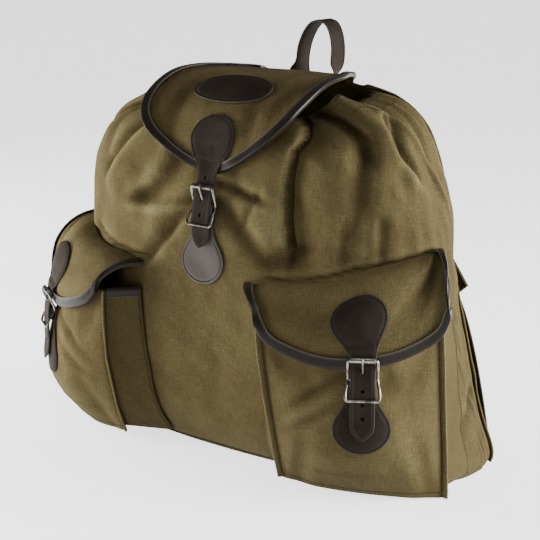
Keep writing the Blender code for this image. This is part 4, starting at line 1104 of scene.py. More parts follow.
def bellows(roots, fronts, share):
    """Points between the gusset's two edges, folded inwards in the middle of its height."""
    count = len(roots)
    run = np.linspace(0.0, 1.0, count)
    on_side = np.clip(np.minimum(run, 1.0 - run) * BELLOWS_SIDES, 0.0, 1.0)
    fold = np.sin(np.pi * on_side) * np.where(on_side < 0.98, 1.0, 0.0)
    middle = (roots.mean(0) + fronts.mean(0)) / 2
    inwards = unit((middle - (roots + fronts) / 2) * np.array([1.0, 1.0, 0.0]))
    depth = BELLOWS * fold[:, None] * np.sin(np.pi * share)[None, :] ** 1.5
    straight = roots[:, None] + (fronts - roots)[:, None] * share[None, :, None]
    wave = rumple(run[:, None] * 0.5, share[None, :] * 0.08) * BELLOWS_RUMPLE
    wave = wave * np.sin(np.pi * share)[None, :]
    return straight + inwards[:, None] * (depth + wave)[..., None]


def front_seam(across, z, is_left):
    """A line on the pocket's front, as a seam for sew."""
    seam = pocket_front(across, z, 0.0002, is_left)
    outward = unit(pocket_front(across, z, 0.002, is_left) - seam)
    return mirrored(seam, is_left), mirrored(outward, is_left)


for side in ("right", "left"):
    is_left = side == "left"
    flange = POCKET_FLANGE / FLANGE_WIDTH
    bottom = POCKET_EDGES[0, 0] - POCKET_FLANGE
    inner_part = np.linspace(0.0, 1.0, FRONT_COLUMNS)[1:-1]
    spread = [np.linspace(-flange, 0.0, 4), inner_part, np.linspace(1.0, 1.0 + flange, 4)]
    spread = np.concatenate(spread)
    across, heights = np.meshgrid(spread, np.linspace(bottom, POCKET_RIM, FRONT_ROWS), indexing="ij")
    points = pocket_front(across, heights, 0.0, is_left)
    uv = np.stack([across * FRONT_WIDTH, heights], -1)
    # Painted shadow in a line along each seam, where the front bulges over the flange, painted light on
    # the flange, and painted shade in the front's dents.
    to_seam = np.minimum(across, 1.0 - across)
    shade = 1.0 - SEAM_SHADE * np.exp(-(((to_seam - SEAM_SHADE_AT) / SEAM_SHADE_HALF) ** 2))
    relief_shade = relief_of(pocket_local(points)[..., 1] - pocket_bulge(across, heights), 9, 0.004) * shade
    relief_shade = relief_shade + np.where(to_seam < 0.0, 0.15, 0.0)
    canvas_sheet("pocket_front_cloth_" + side, points, uv, relief_shade, "pocket_front_" + side, is_left)

    roots, fronts = pocket_gusset(is_left)
    share = np.linspace(0.0, 1.0, GUSSET_STEPS)
    points = bellows(roots, fronts, share)
    run = lengths(roots[None])[0]
    uv = np.stack(np.broadcast_arrays(run[:, None], share[None, :] * GUSSET_DEPTH), -1)
    relief_shade = np.full(points.shape[:2], 0.42)
    canvas_sheet("pocket_gusset_cloth_" + side, points, uv, relief_shade, "pocket_gusset_" + side, is_left)

    def rim_surface(first, second, roots=roots, fronts=fronts):
        """The gusset near its upper edges: first counts columns, second runs from bag to front."""
        index = np.clip(first, 0.0, len(roots) - 1.0)
        low = np.minimum(index.astype(int), len(roots) - 2)
        t = (index - low)[..., None]
        start = roots[low] * (1 - t) + roots[low + 1] * t
        end = fronts[low] * (1 - t) + fronts[low + 1] * t
        return start + (end - start) * np.asarray(second)[..., None]

    for label, first, last in (("inner", 0.0, 8.0), ("outer", len(roots) - 1.0, len(roots) - 9.0)):
        seconds = np.linspace(0.05, 0.95, RIM_SAMPLES)
        if label == "inner":
            seconds = seconds[::-1]
        rim = np.stack([np.full(RIM_SAMPLES, first), seconds], -1)
        hearts = np.stack([np.full(RIM_SAMPLES, last), seconds], -1)
        bind("pocket_" + label + "_trim_" + side, rim_surface, inward(rim_surface, rim, hearts),
             [(0.4, 0.02)], ["pocket_" + label + "_rim_" + side], is_left=is_left)

    height_line = np.linspace(0.012, POCKET_RIM - 0.002, 160)
    seams = [front_seam(across_at, height_line, is_left) for across_at in (0.004, 0.996)]
    seams.append(front_seam(np.linspace(0.01, 0.99, 160), BOTTOM_SEAM, is_left))
    rooted = roots + unit(fronts - roots) * 0.0035
    sideways = unit(np.cross(np.gradient(roots, axis=0), fronts - roots))
    seams.append((mirrored(rooted + sideways * 0.0003, is_left), mirrored(sideways, is_left)))
    sew("pocket_stitches_" + side, seams, "canvas", radius=FINE_THREAD)

# %% [markdown]
# A pocket flap is sewn to the bag above the pocket, goes out over the pocket's mouth and falls down
# its front. Each station across it is a cubic curve from the seam to the free edge. The two middle
# points of the curve are set so that the cloth leaves the bag flat and hangs nearly straight. The
# left flap starts a little lower on the bag than the right one, so its stations are shifted.

# %% The pocket flaps' surface
# Columns: top along, top z, top lift, edge along, edge out, edge z.
FLAP_STATIONS = np.array((
    (0.0630, 0.2085, 0.0050, 0.0790, 0.0880, 0.1830),
    (0.0800, 0.2125, 0.0040, 0.0900, 0.0950, 0.1690),
    (0.1050, 0.2163, 0.0030, 0.1100, 0.1040, 0.1600),
    (0.1350, 0.2196, 0.0030, 0.1370, 0.1115, 0.1525),
    (0.1650, 0.2261, 0.0030, 0.1640, 0.1154, 0.1505),
    (0.1950, 0.2378, 0.0030, 0.1920, 0.1160, 0.1530),
    (0.2250, 0.2461, 0.0030, 0.2200, 0.1120, 0.1580),
    (0.2480, 0.2504, 0.0030, 0.2450, 0.1050, 0.1680),
    (0.2545, 0.2510, 0.0040, 0.2640, 0.1020, 0.1810),
    (0.2600, 0.2515, 0.0050, 0.2720, 0.0990, 0.2000),
))
LEFT_FLAP_SHIFT = np.array((
    (0.0150, 0.0, 0.0, 0.0, 0.0, 0.0),
    (0.0110, 0.0, 0.0, 0.0, 0.0, 0.0),
    (0.0040, 0.0, 0.0, 0.0, 0.0, 0.0),
    (0.0, 0.0, 0.0, 0.0, 0.0, 0.0),
    (0.0, -0.0015, -0.0020, 0.0, 0.0, 0.0),
    (0.0, -0.0050, -0.0060, 0.0, 0.0, 0.0),
    (0.0, -0.0100, -0.0110, 0.0, 0.0, -0.0015),
    (0.0, -0.0140, -0.0140, 0.0, 0.0, -0.0040),
    (0.0, -0.0150, -0.0150, -0.0030, 0.0, -0.0100),
    (0.0, -0.0155, -0.0150, -0.0060, 0.0, -0.0190),
))
FLAP_HEART = (0.16, 0.84)
FLAP_SIDE = 30
FLAP_EDGE = 110
# Columns: across, down, half across, half down, depth, lean.
FLAP_DENTS = (
    (0.82, 0.42, 0.050, 0.34, 0.0055, -0.26),
    (0.71, 0.62, 0.035, 0.24, 0.0025, -0.40),
    (0.30, 0.60, 0.12, 0.30, 0.0026, 0.15),
    (0.10, 0.65, 0.05, 0.25, 0.0022, 0.0),
    (0.66, 0.14, 0.22, 0.08, 0.0022, 0.0),
)
FLAP_RUMPLE = 0.0006
FLAP_RELIEF_SHADE = (0.62, 110.0, 0.06)
FLAP_TAB_ACROSS = (0.537, 0.17)
FLAP_SLANT, FLAP_SLANT_GAIN = 0.15, 0.65
FLAP_SHOULDER, FLAP_SHOULDER_RISE = 0.66, 0.003
FLAP_HIP, FLAP_HIP_FALL = -0.10, 0.55
DENT_DROP = 0.4


def flap_ends(is_left):
    """The stations with their upper ends found on the bag."""
    stations = FLAP_STATIONS + (LEFT_FLAP_SHIFT if is_left else 0.0)
    along, z, lift = stations[:, 0], stations[:, 1], stations[:, 2]
    place = place_at(z)
    low, high = np.full(len(z), -89.0), np.full(len(z), 30.0)
    degrees = search(low, high,
                     lambda at: pocket_local(side_body(at, place, 0.0, is_left))[..., 0] < along, 22)
    return np.concatenate([pocket_local(side_body(degrees, place, lift, is_left)), stations[:, 3:]], -1)


def flap_rumple(across, down):
    return rumple(across * 0.2 + 5.0, down * 0.09)


def make_flap(is_left):
    """The surface of one flap as a function of across and down."""
    ends = flap_ends(is_left)

    def flap_at(across, down, lift=0.0):
        across, down = np.broadcast_arrays(np.asarray(across, float), np.asarray(down, float))
        row = rows_at(ends, across * (len(ends) - 1))
        top, edge = row[..., :3], row[..., 3:]
        reach, fall = edge - top, top[..., 2] - edge[..., 2]
        zero = np.zeros_like(fall)
        slant = FLAP_SLANT + FLAP_SLANT_GAIN * across**4
        leave = [slant * reach[..., 0], FLAP_SHOULDER * reach[..., 1], zero + FLAP_SHOULDER_RISE]
        shoulder = top + np.stack(leave, -1)
        hip = edge + np.stack([FLAP_HIP * reach[..., 0], zero, FLAP_HIP_FALL * fall], -1)
        a, b = (1.0 - down)[..., None], down[..., None]
        local = a**3 * top + 3 * a * a * b * shoulder + 3 * a * b * b * hip + b**3 * edge
        inside = np.sin(np.pi * np.clip(down, 0.0, 1.0)) ** 0.5
        middle, half = FLAP_TAB_ACROSS
        clear_of_tab = 1.0 - np.exp(-(((across - middle) / half) ** 2))
        press = dented(across, down, FLAP_DENTS) - FLAP_RUMPLE * flap_rumple(across, down)
        press = press * inside * clear_of_tab
        local = local + np.stack([zero, -press, zero - DENT_DROP * press], -1)
        surface = pocket_world(local[..., 0], local[..., 1], local[..., 2])
        if np.any(lift):
            surface = surface + flap_normal(across, down) * np.asarray(lift)[..., None]
        return surface

    def flap_normal(across, down):
        held = np.clip(down, 0.01, 0.99)
        return -normals_of(flap_at, across, held, 0.01, 0.01)

    return flap_at


print("the right flap's free edge is at", make_flap(False)(0.5, 1.0).round(3), "in its middle")

# %% [markdown]
# The flap's cloth and its trim are laid out from the rim inwards, as on the lid. The rim starts at
# the inner end of the seam, goes down the side, along the free edge, and up the outer side.

# %% The pocket flaps
def flap_relief(places):
    """Painted shade: lower where a dent is, and up and down with the rumple, for the cloth's tone."""
    across, down = places[..., 0], places[..., 1]
    middle, for_dents, for_rumple = FLAP_RELIEF_SHADE
    tone = middle - dented(across, down, FLAP_DENTS) * for_dents + for_rumple * flap_rumple(across, down)
    return np.clip(tone, 0.0, 1.0)


flap_surfaces = {}
side_down = np.linspace(0.0, 1.0, FLAP_SIDE, endpoint=False)
flap_rim = np.concatenate([
    np.stack([np.zeros(FLAP_SIDE), side_down], -1),
    np.stack([np.linspace(0.0, 1.0, FLAP_EDGE), np.ones(FLAP_EDGE)], -1),
    np.stack([np.ones(FLAP_SIDE), side_down[::-1]], -1),
])
heart_across = FLAP_HEART[0] + (FLAP_HEART[1] - FLAP_HEART[0]) * np.linspace(0.0, 1.0, len(flap_rim))
flap_hearts = np.stack([heart_across, np.zeros(len(flap_rim))], -1)
for side in ("right", "left"):
    is_left = side == "left"
    flap = make_flap(is_left)
    flap_surfaces[side] = flap
    flap_lines = inward(flap, flap_rim, flap_hearts)
    places = flap_lines(TRIM_STEPS, np.linspace(0.0, 1.0, 26)[1:])
    points = flap(places[..., 0], places[..., 1])
    uv = np.stack([places[..., 0] * 0.2, places[..., 1] * 0.12], -1)
    canvas_sheet("pocket_flap_cloth_" + side, points, uv, flap_relief(places), "pocket_flap_" + side,
                 is_left)
    bind("flap_trim_" + side, flap, flap_lines, [(0.01, 0.02), (0.005, 0.01)], ["flap_binding_" + side],
         is_left=is_left)

# %% [markdown]
# Straps, tabs and patches are cut from 2 mm leather. Each starts as an outline drawn flat, in
# distance across and distance along. Rows are set in from the outline: a rounded cut edge, then the
# groove that the stitches lie in, then the middle. A second function says where a flat place ends up
# in the world, so that the same leather can lie on the lid or wrap round a buckle's bar.

# %% A piece of cut leather
GROOVE_INSET = 0.0028
GROOVE_DEPTH = 0.00045
THREAD_SINK = GROOVE_DEPTH * 0.6
NORMAL_STEP = 0.0008
# Columns: inset, drop (-1 stands for the groove), edge mark.
EDGE_ROWS = (
    (GROOVE_INSET + 0.0007, 0.0, 0.10),
    (GROOVE_INSET, -1.0, 0.45),
    (GROOVE_INSET - 0.0007, 0.0, 0.10),
    (0.0011, 0.0, 0.0),
    (0.0004, -0.00030, 0.45),
    (0.0, -0.00085, 1.0),
)


def inset(outline, distance):
    """A closed outline moved inwards, with its two halves kept apart."""
    direction = np.roll(outline, -1, axis=0) - np.roll(outline, 1, axis=0)
    inwards = unit(np.stack([-direction[:, 1], direction[:, 0]], -1))
    moved = outline + inwards * distance
    half = len(outline) // 2
    moved[: half + 1, 0] = np.maximum(moved[: half + 1, 0], 0.0)
    moved[half:, 0] = np.minimum(moved[half:, 0], 0.0)
    return moved


def cut_leather(name, outline, ground, facing, finish, nodes, thickness=LEATHER, grooved=1e9,
                spine=(0.0, 1.0), is_left=False):
    """Leather from a closed outline that starts at the end of its middle line and goes down one side."""
    middle = np.stack([np.zeros(len(outline)), np.clip(outline[:, 1], *spine)], -1)
    first_row = inset(outline, EDGE_ROWS[0][0])
    rows = [(middle + (first_row - middle) * share, 0.0, 0.0) for share in (0.0, 0.3, 0.6, 0.85)]
    for distance, drop, mark in EDGE_ROWS:
        if drop < -0.5:
            drop = -GROOVE_DEPTH * (1.0 / (1.0 + np.exp((outline[:, 1] - grooved) / 0.001)))
        rows.append((inset(outline, distance), drop, mark))
    rows.append((outline, -thickness + 0.0006, 1.0))
    rows.append((inset(outline, 0.0004), -thickness, 0.3))
    rows.append((middle + (first_row - middle) * 0.5, -thickness, 0.0))
    rows.append((middle, -thickness, 0.0))
    columns = []
    for flat, drop, _ in rows:
        at = ground(flat[:, 0], flat[:, 1])
        normal = normals_of(ground, flat[:, 0], flat[:, 1], NORMAL_STEP, NORMAL_STEP) * facing
        columns.append(at + normal * (np.zeros(len(flat)) + drop)[:, None])
    points = np.stack(columns, 1)
    points = np.concatenate([points, points[:1]])
    flats = np.stack([flat for flat, _, _ in rows], 1)
    flats = np.concatenate([flats, flats[:1]])
    marks = np.tile([mark for _, _, mark in rows], (len(points), 1))
    mesh = grid_mesh(name, mirrored(points, is_left), in_order(flats, is_left), weld=True, closed=True,
                     attributes={"edge": marks})
    return show(name, mesh, finish, "leather", nodes, 60)


def flat_seam(line, ground, facing, is_left):
    """A line drawn on the flat leather, as a seam for sew."""
    at = ground(line[:, 0], line[:, 1])
    normal = normals_of(ground, line[:, 0], line[:, 1], NORMAL_STEP, NORMAL_STEP) * facing
    seam = at - normal * THREAD_SINK
    return mirrored(seam, is_left), mirrored(normal, is_left)


def tear_seam(outline, reach, ground, facing, is_left):
    """The seam round a teardrop's head, as far as a distance along the leather."""
    right = inset(outline, GROOVE_INSET)[: len(outline) // 2 + 1]
    right = right[right[:, 1] < reach]
    line = np.concatenate([right[::-1] * np.array([-1.0, 1.0]), right[1:]])
    return flat_seam(line, ground, facing, is_left)


print("the stitches lie", round(GROOVE_INSET * 1000, 1), "mm in from a cut edge")

# %% [markdown]
# The oval patch sits high on the lid. It is one plain piece of leather, sewn down along a groove set
# in from its edge. Its flat outline is laid on the lid's own surface, so it follows every dent there.

# %% The oval patch
OVAL_HALF = (0.053, 0.024)
OVAL_STATION = 6.15
OVAL_STEP = 0.0245
SEAT = 0.0006


def oval_ground(a, along):
    return lid_at(a, OVAL_STATION + (along - OVAL_HALF[1]) / OVAL_STEP, SEAT + LEATHER)


oval_turns = np.linspace(0.0, math.tau, 181)[:-1]
oval_outline = np.array(OVAL_HALF) * np.stack([np.sin(oval_turns), 1.0 - np.cos(oval_turns)], -1)
cut_leather("patch_oval", oval_outline, oval_ground, -1.0, LEATHER_FINISH, ["oval_patch"],
            spine=(OVAL_HALF[1], OVAL_HALF[1]))
oval_line = inset(oval_outline, GROOVE_INSET)
oval_line = np.concatenate([oval_line, oval_line[:1]])
sew("patch_oval_stitches", [flat_seam(oval_line, oval_ground, -1.0, False)])

# %% [markdown]
# A fastening is the same three times. The upper leather starts as a broad teardrop sewn to a flap and
# runs on as a strap over the buckle. The lower one is a teardrop sewn to the bag, whose neck folds
# round the buckle's bar. Each is drawn flat and laid on a lattice: rows of nine points across the
# strap, each row found on the canvas or in the air, and a smooth curve through the rows.

# %% Where the straps run
STRAP_HALF = 0.0125
TEAR_HEAD = (0.0298, 0.0260)
TEAR_NECK = np.array((
    (0.0260, 0.0298), (0.0305, 0.0293), (0.0350, 0.0279), (0.0395, 0.0257), (0.0440, 0.0229),
    (0.0485, 0.0200), (0.0530, 0.0174), (0.0575, 0.0153), (0.0620, 0.0138), (0.0660, 0.0128),
    (0.0690, 0.0125),
))
UPPER_SEAM_REACH, LOWER_SEAM_REACH, GROOVE_REACH = 0.054, 0.050, 0.056
STRAP_RUN = (
    (-0.0200, 0.0089), (-0.0110, 0.0096), (-0.0040, 0.0098), (0.0040, 0.0094), (0.0120, 0.0084),
    (0.0210, 0.0074), (0.0300, 0.0056), (0.0380, 0.0040),
)
STRAP_END_OUT = 0.0035
STRAP_POINT = np.array(((0.0165, 0.0125), (0.0130, 0.0123), (0.0095, 0.0110), (0.0064, 0.0080),
                        (0.0027, 0.0037), (0.0010, 0.0014), (0.0, 0.0)))
BAR_OUT = 0.0047
CHAPE_RADIUS = 0.0017
LATTICE_HALF = 0.030
MAIN_LEVEL, MAIN_FALL, MAIN_LEAN = 0.2825, 0.968, 0.0065
MAIN_UPPER_ROWS = (
    (0.0, (7.94, SEAT)), (0.005, (8.20, SEAT)), (0.011, (8.52, SEAT)), (0.018, (8.92, SEAT)),
    (0.026, (9.40, SEAT)), (0.033, (9.85, SEAT)), (0.040, (10.35, 0.0017)), (0.047, (10.90, 0.0030)),
    (0.054, (11.35, 0.0031)),
)
SIDE_LEVEL, SIDE_FALL, SIDE_ALONG, SIDE_ACROSS, SIDE_LEAN = 0.1386, 0.984, 0.1873, 0.5366, -0.078
FLAP_WIDTH = 0.270
SIDE_UPPER_ROWS = (
    (0.0, (0.409, SEAT)), (0.0015, (0.424, SEAT)), (0.005, (0.458, SEAT)), (0.011, (0.514, SEAT)),
    (0.018, (0.576, SEAT)), (0.026, (0.643, SEAT)), (0.034, (0.710, SEAT)), (0.042, (0.773, SEAT)),
    (0.050, (0.835, SEAT)), (0.056, (0.880, 0.0031)),
)


def lattice(rows):
    """A surface through rows of points: each row is (distance along, points across it)."""
    stops = np.array([distance for distance, _ in rows])
    table = np.array([points for _, points in rows])
    count = table.shape[1]

    def ground(a, along):
        a, along = np.broadcast_arrays(np.asarray(a, float), np.asarray(along, float))
        row = np.interp(along, stops, np.arange(len(stops)))
        beyond = np.maximum(along - stops[-1], 0.0) + np.minimum(along - stops[0], 0.0)
        u = np.clip((a / LATTICE_HALF + 1.0) * (count - 1) / 2, 0.0, count - 1.0)
        start = np.clip(u.astype(int), 1, count - 3)
        t = u - start
        weights = (-0.5 * t + t**2 - 0.5 * t**3, 1 - 2.5 * t**2 + 1.5 * t**3,
                   0.5 * t + 2 * t**2 - 1.5 * t**3, -0.5 * t**2 + 0.5 * t**3)
        line = rows_at(table.reshape(len(table), -1), row).reshape(row.shape + (count, 3))
        total = 0.0
        for offset, weight in zip((-1, 0, 1, 2), weights):
            pick = np.take_along_axis(line, (start + offset)[..., None, None], axis=-2)[..., 0, :]
            total = total + pick * weight[..., None]
        ahead = unit(table[-1, count // 2] - table[-2, count // 2])
        return total + ahead * np.where(along > stops[-1], beyond, 0.0)[..., None]

    return ground


def added_rows(rows, points):
    """Adds rows whose distance is measured on from the last one."""
    for row in points:
        step = np.linalg.norm(row[len(row) // 2] - rows[-1][1][len(row) // 2])
        rows.append((rows[-1][0] + step, row))
    return rows


def both_sides(half):
    """A closed outline from its right half, a list of (half width, distance along)."""
    run = lengths(half[None])[0]
    stops = np.linspace(0.0, run[-1], max(int(run[-1] / 0.0014), 40))
    right = np.stack([np.interp(stops, run, half[:, axis]) for axis in (0, 1)], -1)
    return np.concatenate([right, right[-2:0:-1] * np.array([-1.0, 1.0])])


def tear_half_outline():
    turns = np.linspace(0.0, math.pi / 2, 40)
    head = np.array(TEAR_HEAD) * np.stack([np.sin(turns), 1.0 - np.cos(turns)], -1)
    neck = rows_at(TEAR_NECK, np.linspace(0.0, len(TEAR_NECK) - 1.0, 60))[1:, ::-1]
    return np.concatenate([head, neck])


print("a teardrop is", round(2000 * tear_half_outline()[:, 0].max(), 1), "mm wide")

# %% [markdown]
# Wire parts are tubes swept along a line whose corners are eased, as bent wire's are. The line is
# resampled finely and averaged with its neighbours, and the ring at each point turns along with it,
# so that nothing twists.

# %% Bent wire
WIRE_PITCH, PRONG_PITCH = 0.0004, 0.0003
FRAME_EASE, BAR_EASE, PRONG_EASE = 0.0018, 0.0008, 0.0012


def eased(line, reach, closed=False, pitch=WIRE_PITCH):
    """A line of points resampled evenly, with its corners rounded over a reach."""
    line = np.array(line)
    if closed:
        line = np.concatenate([line, line[:1]])
    run = lengths(line[None])[0]
    count = int(run[-1] / pitch)
    stops = np.linspace(0.0, run[-1], count + 1)
    fine = np.stack([np.interp(stops, run, line[:, axis]) for axis in range(3)], -1)
    size = max(int(reach / pitch), 1)
    window = np.hanning(2 * size + 3)[1:-1]
    window /= window.sum()
    if closed:
        fine = fine[:-1]
        padded = np.concatenate([fine[-size:], fine, fine[:size]])
    else:
        before = 2 * fine[:1] - fine[size:0:-1]
        after = 2 * fine[-1:] - fine[-2:-size - 2:-1]
        padded = np.concatenate([before, fine, after])
    smooth = np.stack([np.convolve(padded[:, axis], window, mode="valid") for axis in range(3)], -1)
    return smooth[::2]


def wire(name, line, radii, finish, nodes=(), closed=False, sides=14, start=(0.0, 0.0, 1.0)):
    """A tube along a line, with its ring carried along without twist."""
    line = np.array(line)
    if closed:
        line = np.concatenate([line, line[:1]])
        ahead = np.roll(line[:-1], -1, axis=0) - np.roll(line[:-1], 1, axis=0)
        ahead = np.concatenate([ahead, ahead[:1]])
    else:
        ahead = np.gradient(line, axis=0)
    ahead = unit(ahead)
    radii = np.zeros(len(line)) + radii
    side = np.cross(ahead[0], np.array(start))
    sides_at = []
    for direction in ahead:
        side = side - direction * np.dot(side, direction)
        side = side / np.linalg.norm(side)
        sides_at.append(side)
    sides_at = np.array(sides_at)
    other = np.cross(ahead, sides_at)
    if closed:
        turned = math.atan2(np.dot(sides_at[-1], other[0]), np.dot(sides_at[-1], sides_at[0]))
        turns_back = -turned * np.linspace(0.0, 1.0, len(line))
    else:
        turns_back = np.zeros(len(line))
    turns = np.linspace(0.0, math.tau, sides + 1)[None, :] + turns_back[:, None]
    ring = sides_at[:, None] * np.cos(turns)[..., None] + other[:, None] * np.sin(turns)[..., None]
    points = line[:, None] + ring * radii[:, None, None]
    if not closed:
        points = np.concatenate([np.repeat(line[:1, None], sides + 1, 1), points,
                                 np.repeat(line[-1:, None], sides + 1, 1)])
    run = np.linspace(0.0, 1.0, len(points))
    uv = np.stack(np.broadcast_arrays(run[:, None], np.linspace(0.0, 1.0, sides + 1)[None, :]), -1)
    mesh = grid_mesh(name, points, uv, weld=True, closed=True)
    return show(name, mesh, finish, "nickel", nodes, 60)


def joined(name, pieces, nodes):
    """Makes several pieces one, and lets it stand for its frame nodes."""
    form = bmesh.new()
    for piece in pieces:
        form.from_mesh(piece.data)
    mesh = bpy.data.meshes.new(name)
    form.to_mesh(mesh)
    form.free()
    finish = pieces[0].data.materials[0]
    for piece in pieces:
        bpy.data.objects.remove(piece)
    show(name, mesh, finish, "nickel", nodes, 60)


def punched(piece, holes, radius, finish):
    """Cuts round holes through leather, each given by its two ends."""
    cutters = []
    for number, ends in enumerate(holes):
        cutter = wire("punch_" + str(number), np.linspace(*np.array(ends), 3), radius, finish, sides=20)
        cut = piece.modifiers.new("Punch", "BOOLEAN")
        cut.operation = "DIFFERENCE"
        cut.solver = "EXACT"
        cut.object = cutter
        cutters.append(cutter)
    bpy.context.view_layer.update()
    graph = bpy.context.evaluated_depsgraph_get()
    mesh = bpy.data.meshes.new_from_object(piece.evaluated_get(graph))
    piece.modifiers.clear()
    piece.data = mesh
    for cutter in cutters:
        bpy.data.objects.remove(cutter)


straight = eased([(0.0, 0.0, 0.0), (0.01, 0.0, 0.0)], FRAME_EASE)
print("10 mm of wire are", len(straight), "points")

# %% [markdown]
# The buckle is a roller buckle: a frame of bent wire with a waist at the bar, a heel that keeps the
# strap's end down, a sleeve that turns on its top bar, and a tongue whose end is bent round the bar.
# Its lines are given across, down and out from the bar's middle, once for all three buckles.

# %% A roller buckle
WIRE = 0.00145
FRAME_WIRE = (
    (0.0000, -0.0200, 0.0145), (0.0050, -0.0200, 0.0145), (0.0100, -0.0200, 0.0145),
    (0.0134, -0.0200, 0.0145), (0.0149, -0.0186, 0.0140), (0.0152, -0.0110, 0.0103),
    (0.0149, -0.0040, 0.0058), (0.0147, 0.0000, 0.0047), (0.0153, 0.0040, 0.0059),
    (0.0167, 0.0100, 0.0092), (0.0172, 0.0160, 0.0109), (0.0168, 0.0195, 0.0112),
    (0.0154, 0.0210, 0.0112), (0.0100, 0.0210, 0.0112), (0.0050, 0.0210, 0.0112),
    (0.0000, 0.0210, 0.0112),
)
FRAME_WAIST = 0.0147
ROLLER_DOWN, ROLLER_OUT = -0.0200, 0.0145
ROLLER_RADIUS, ROLLER_BORE, ROLLER_HALF = 0.0029, 0.0017, 0.0128
PRONG_RADIUS = 0.0011
PRONG_RING = 0.0029
PRONG_TAPER, PRONG_THINNER = 0.006, 0.30
PRONG_WRAP = (-180.0, -140.0, -100.0, -60.0, -20.0, 20.0, 50.0, 75.0)
PRONG = (
    (-0.0035, 0.0088), (-0.0075, 0.0110), (-0.0115, 0.0137),
    (-0.0155, 0.0168), (-0.0192, 0.0190), (-0.0225, 0.0190),
)


def buckle_frame(label, wired):
    line = list(FRAME_WIRE) + [(-a, d, out) for a, d, out in FRAME_WIRE[-2:0:-1]]
    line = eased(wired(line), FRAME_EASE, True)
    pieces = [wire("frame_" + label, line, WIRE, NICKEL_FINISH, closed=True)]
    bar = eased(wired([(-FRAME_WAIST, 0.0, BAR_OUT), (FRAME_WAIST, 0.0, BAR_OUT)]), BAR_EASE)
    pieces.append(wire("bar_" + label, bar, WIRE, NICKEL_FINISH))
    joined("buckle_" + label, pieces, ["buckle_frame_" + label])


def buckle_roller(label, local, is_left):
    profile = [(-ROLLER_HALF + 0.0005, ROLLER_RADIUS), (-ROLLER_HALF + 0.0001, ROLLER_RADIUS - 0.0002),
               (-ROLLER_HALF, ROLLER_RADIUS - 0.0005), (-ROLLER_HALF, ROLLER_BORE)]
    profile += [(-a, r) for a, r in reversed(profile)]
    profile.append(profile[0])
    sleeve = np.array([
        [(a, ROLLER_DOWN + r * math.cos(t), ROLLER_OUT + r * math.sin(t)) for a, r in profile]
        for t in np.linspace(0.0, math.tau, 37)
    ])
    points = local(sleeve[..., 0], sleeve[..., 1], sleeve[..., 2])
    mesh = grid_mesh("roller_" + label, mirrored(points, is_left), sleeve[..., :2] * 10.0,
                     weld=True, closed=True)
    show("roller_" + label, mesh, NICKEL_FINISH, "nickel", ["buckle_roller_" + label], 40)


def buckle_tongue(label, wired, across):
    turns = [math.radians(degrees) for degrees in PRONG_WRAP]
    ring = [(0.0, PRONG_RING * math.cos(t), BAR_OUT + PRONG_RING * math.sin(t)) for t in turns]
    line = eased(wired(ring + [(0.0, d, out) for d, out in PRONG]), PRONG_EASE, pitch=PRONG_PITCH)
    run = lengths(line[None])[0]
    near_tip = np.clip(1.0 - (run[-1] - run) / PRONG_TAPER, 0.0, 1.0)
    radii = PRONG_RADIUS * (1.0 - PRONG_THINNER * near_tip)
    radii[[0, -2, -1]] *= (0.75, 0.85, 0.55)
    wire("tongue_" + label, line, radii, NICKEL_FINISH, ["buckle_tongue_" + label], start=tuple(across))


print("a buckle is", round(2000 * (max(a for a, _, _ in FRAME_WIRE) + WIRE), 1), "mm wide")

# %% [markdown]
# With the buckle made, a fastening is four steps: the strap over it, the leather under it that holds
# its bar, the buckle itself, and the holes. The holes are cut last, with one Boolean for each, because
# the cutters are placed on the buckle's own lines.

# %% The leather of a fastening
PRONG_HOLE = ((0.0, -0.0025, 0.0080), (0.0, -0.0150, 0.0168))
PRONG_PASSAGE = 0.0017
HOLE_RADIUS = 0.0019
HOLE_TOP = 0.030
CHEVRON = ((0.0, 0.0330), (0.0125, 0.0570))
NINE = np.linspace(-LATTICE_HALF, LATTICE_HALF, 9)
TEAR_SPINE = TEAR_HEAD[1] * 0.8


def upper_strap(label, local, upper_rows, strap_tip, finish, is_left):
    """The teardrop on the flap and the strap that goes on from it, over the buckle."""
    over = [local(NINE, d, out + LEATHER) for d, out in STRAP_RUN if d < strap_tip - 0.017]
    over += [local(NINE, strap_tip - before, STRAP_END_OUT + LEATHER) for before in (0.015, 0.0)]
    rows = added_rows(list(upper_rows), over)
    ground = lattice(rows)
    end = rows[-1][0]
    point = np.stack([STRAP_POINT[:, 1], end - STRAP_POINT[:, 0]], -1)
    outline = both_sides(np.concatenate([tear_half_outline(), point]))
    strap = cut_leather("strap_upper_" + label, outline, ground, -1.0, finish, ["upper_tab_" + label],
                        grooved=GROOVE_REACH, spine=(TEAR_SPINE, end - 0.004), is_left=is_left)
    seams = [tear_seam(outline, UPPER_SEAM_REACH, ground, -1.0, is_left)]
    for sign in (-1.0, 1.0):
        line = np.linspace(*np.array(CHEVRON), 30) * np.array([sign, 1.0])
        seams.append(flat_seam(line, ground, -1.0, is_left))
    sew("strap_upper_stitches_" + label, seams)
    return strap


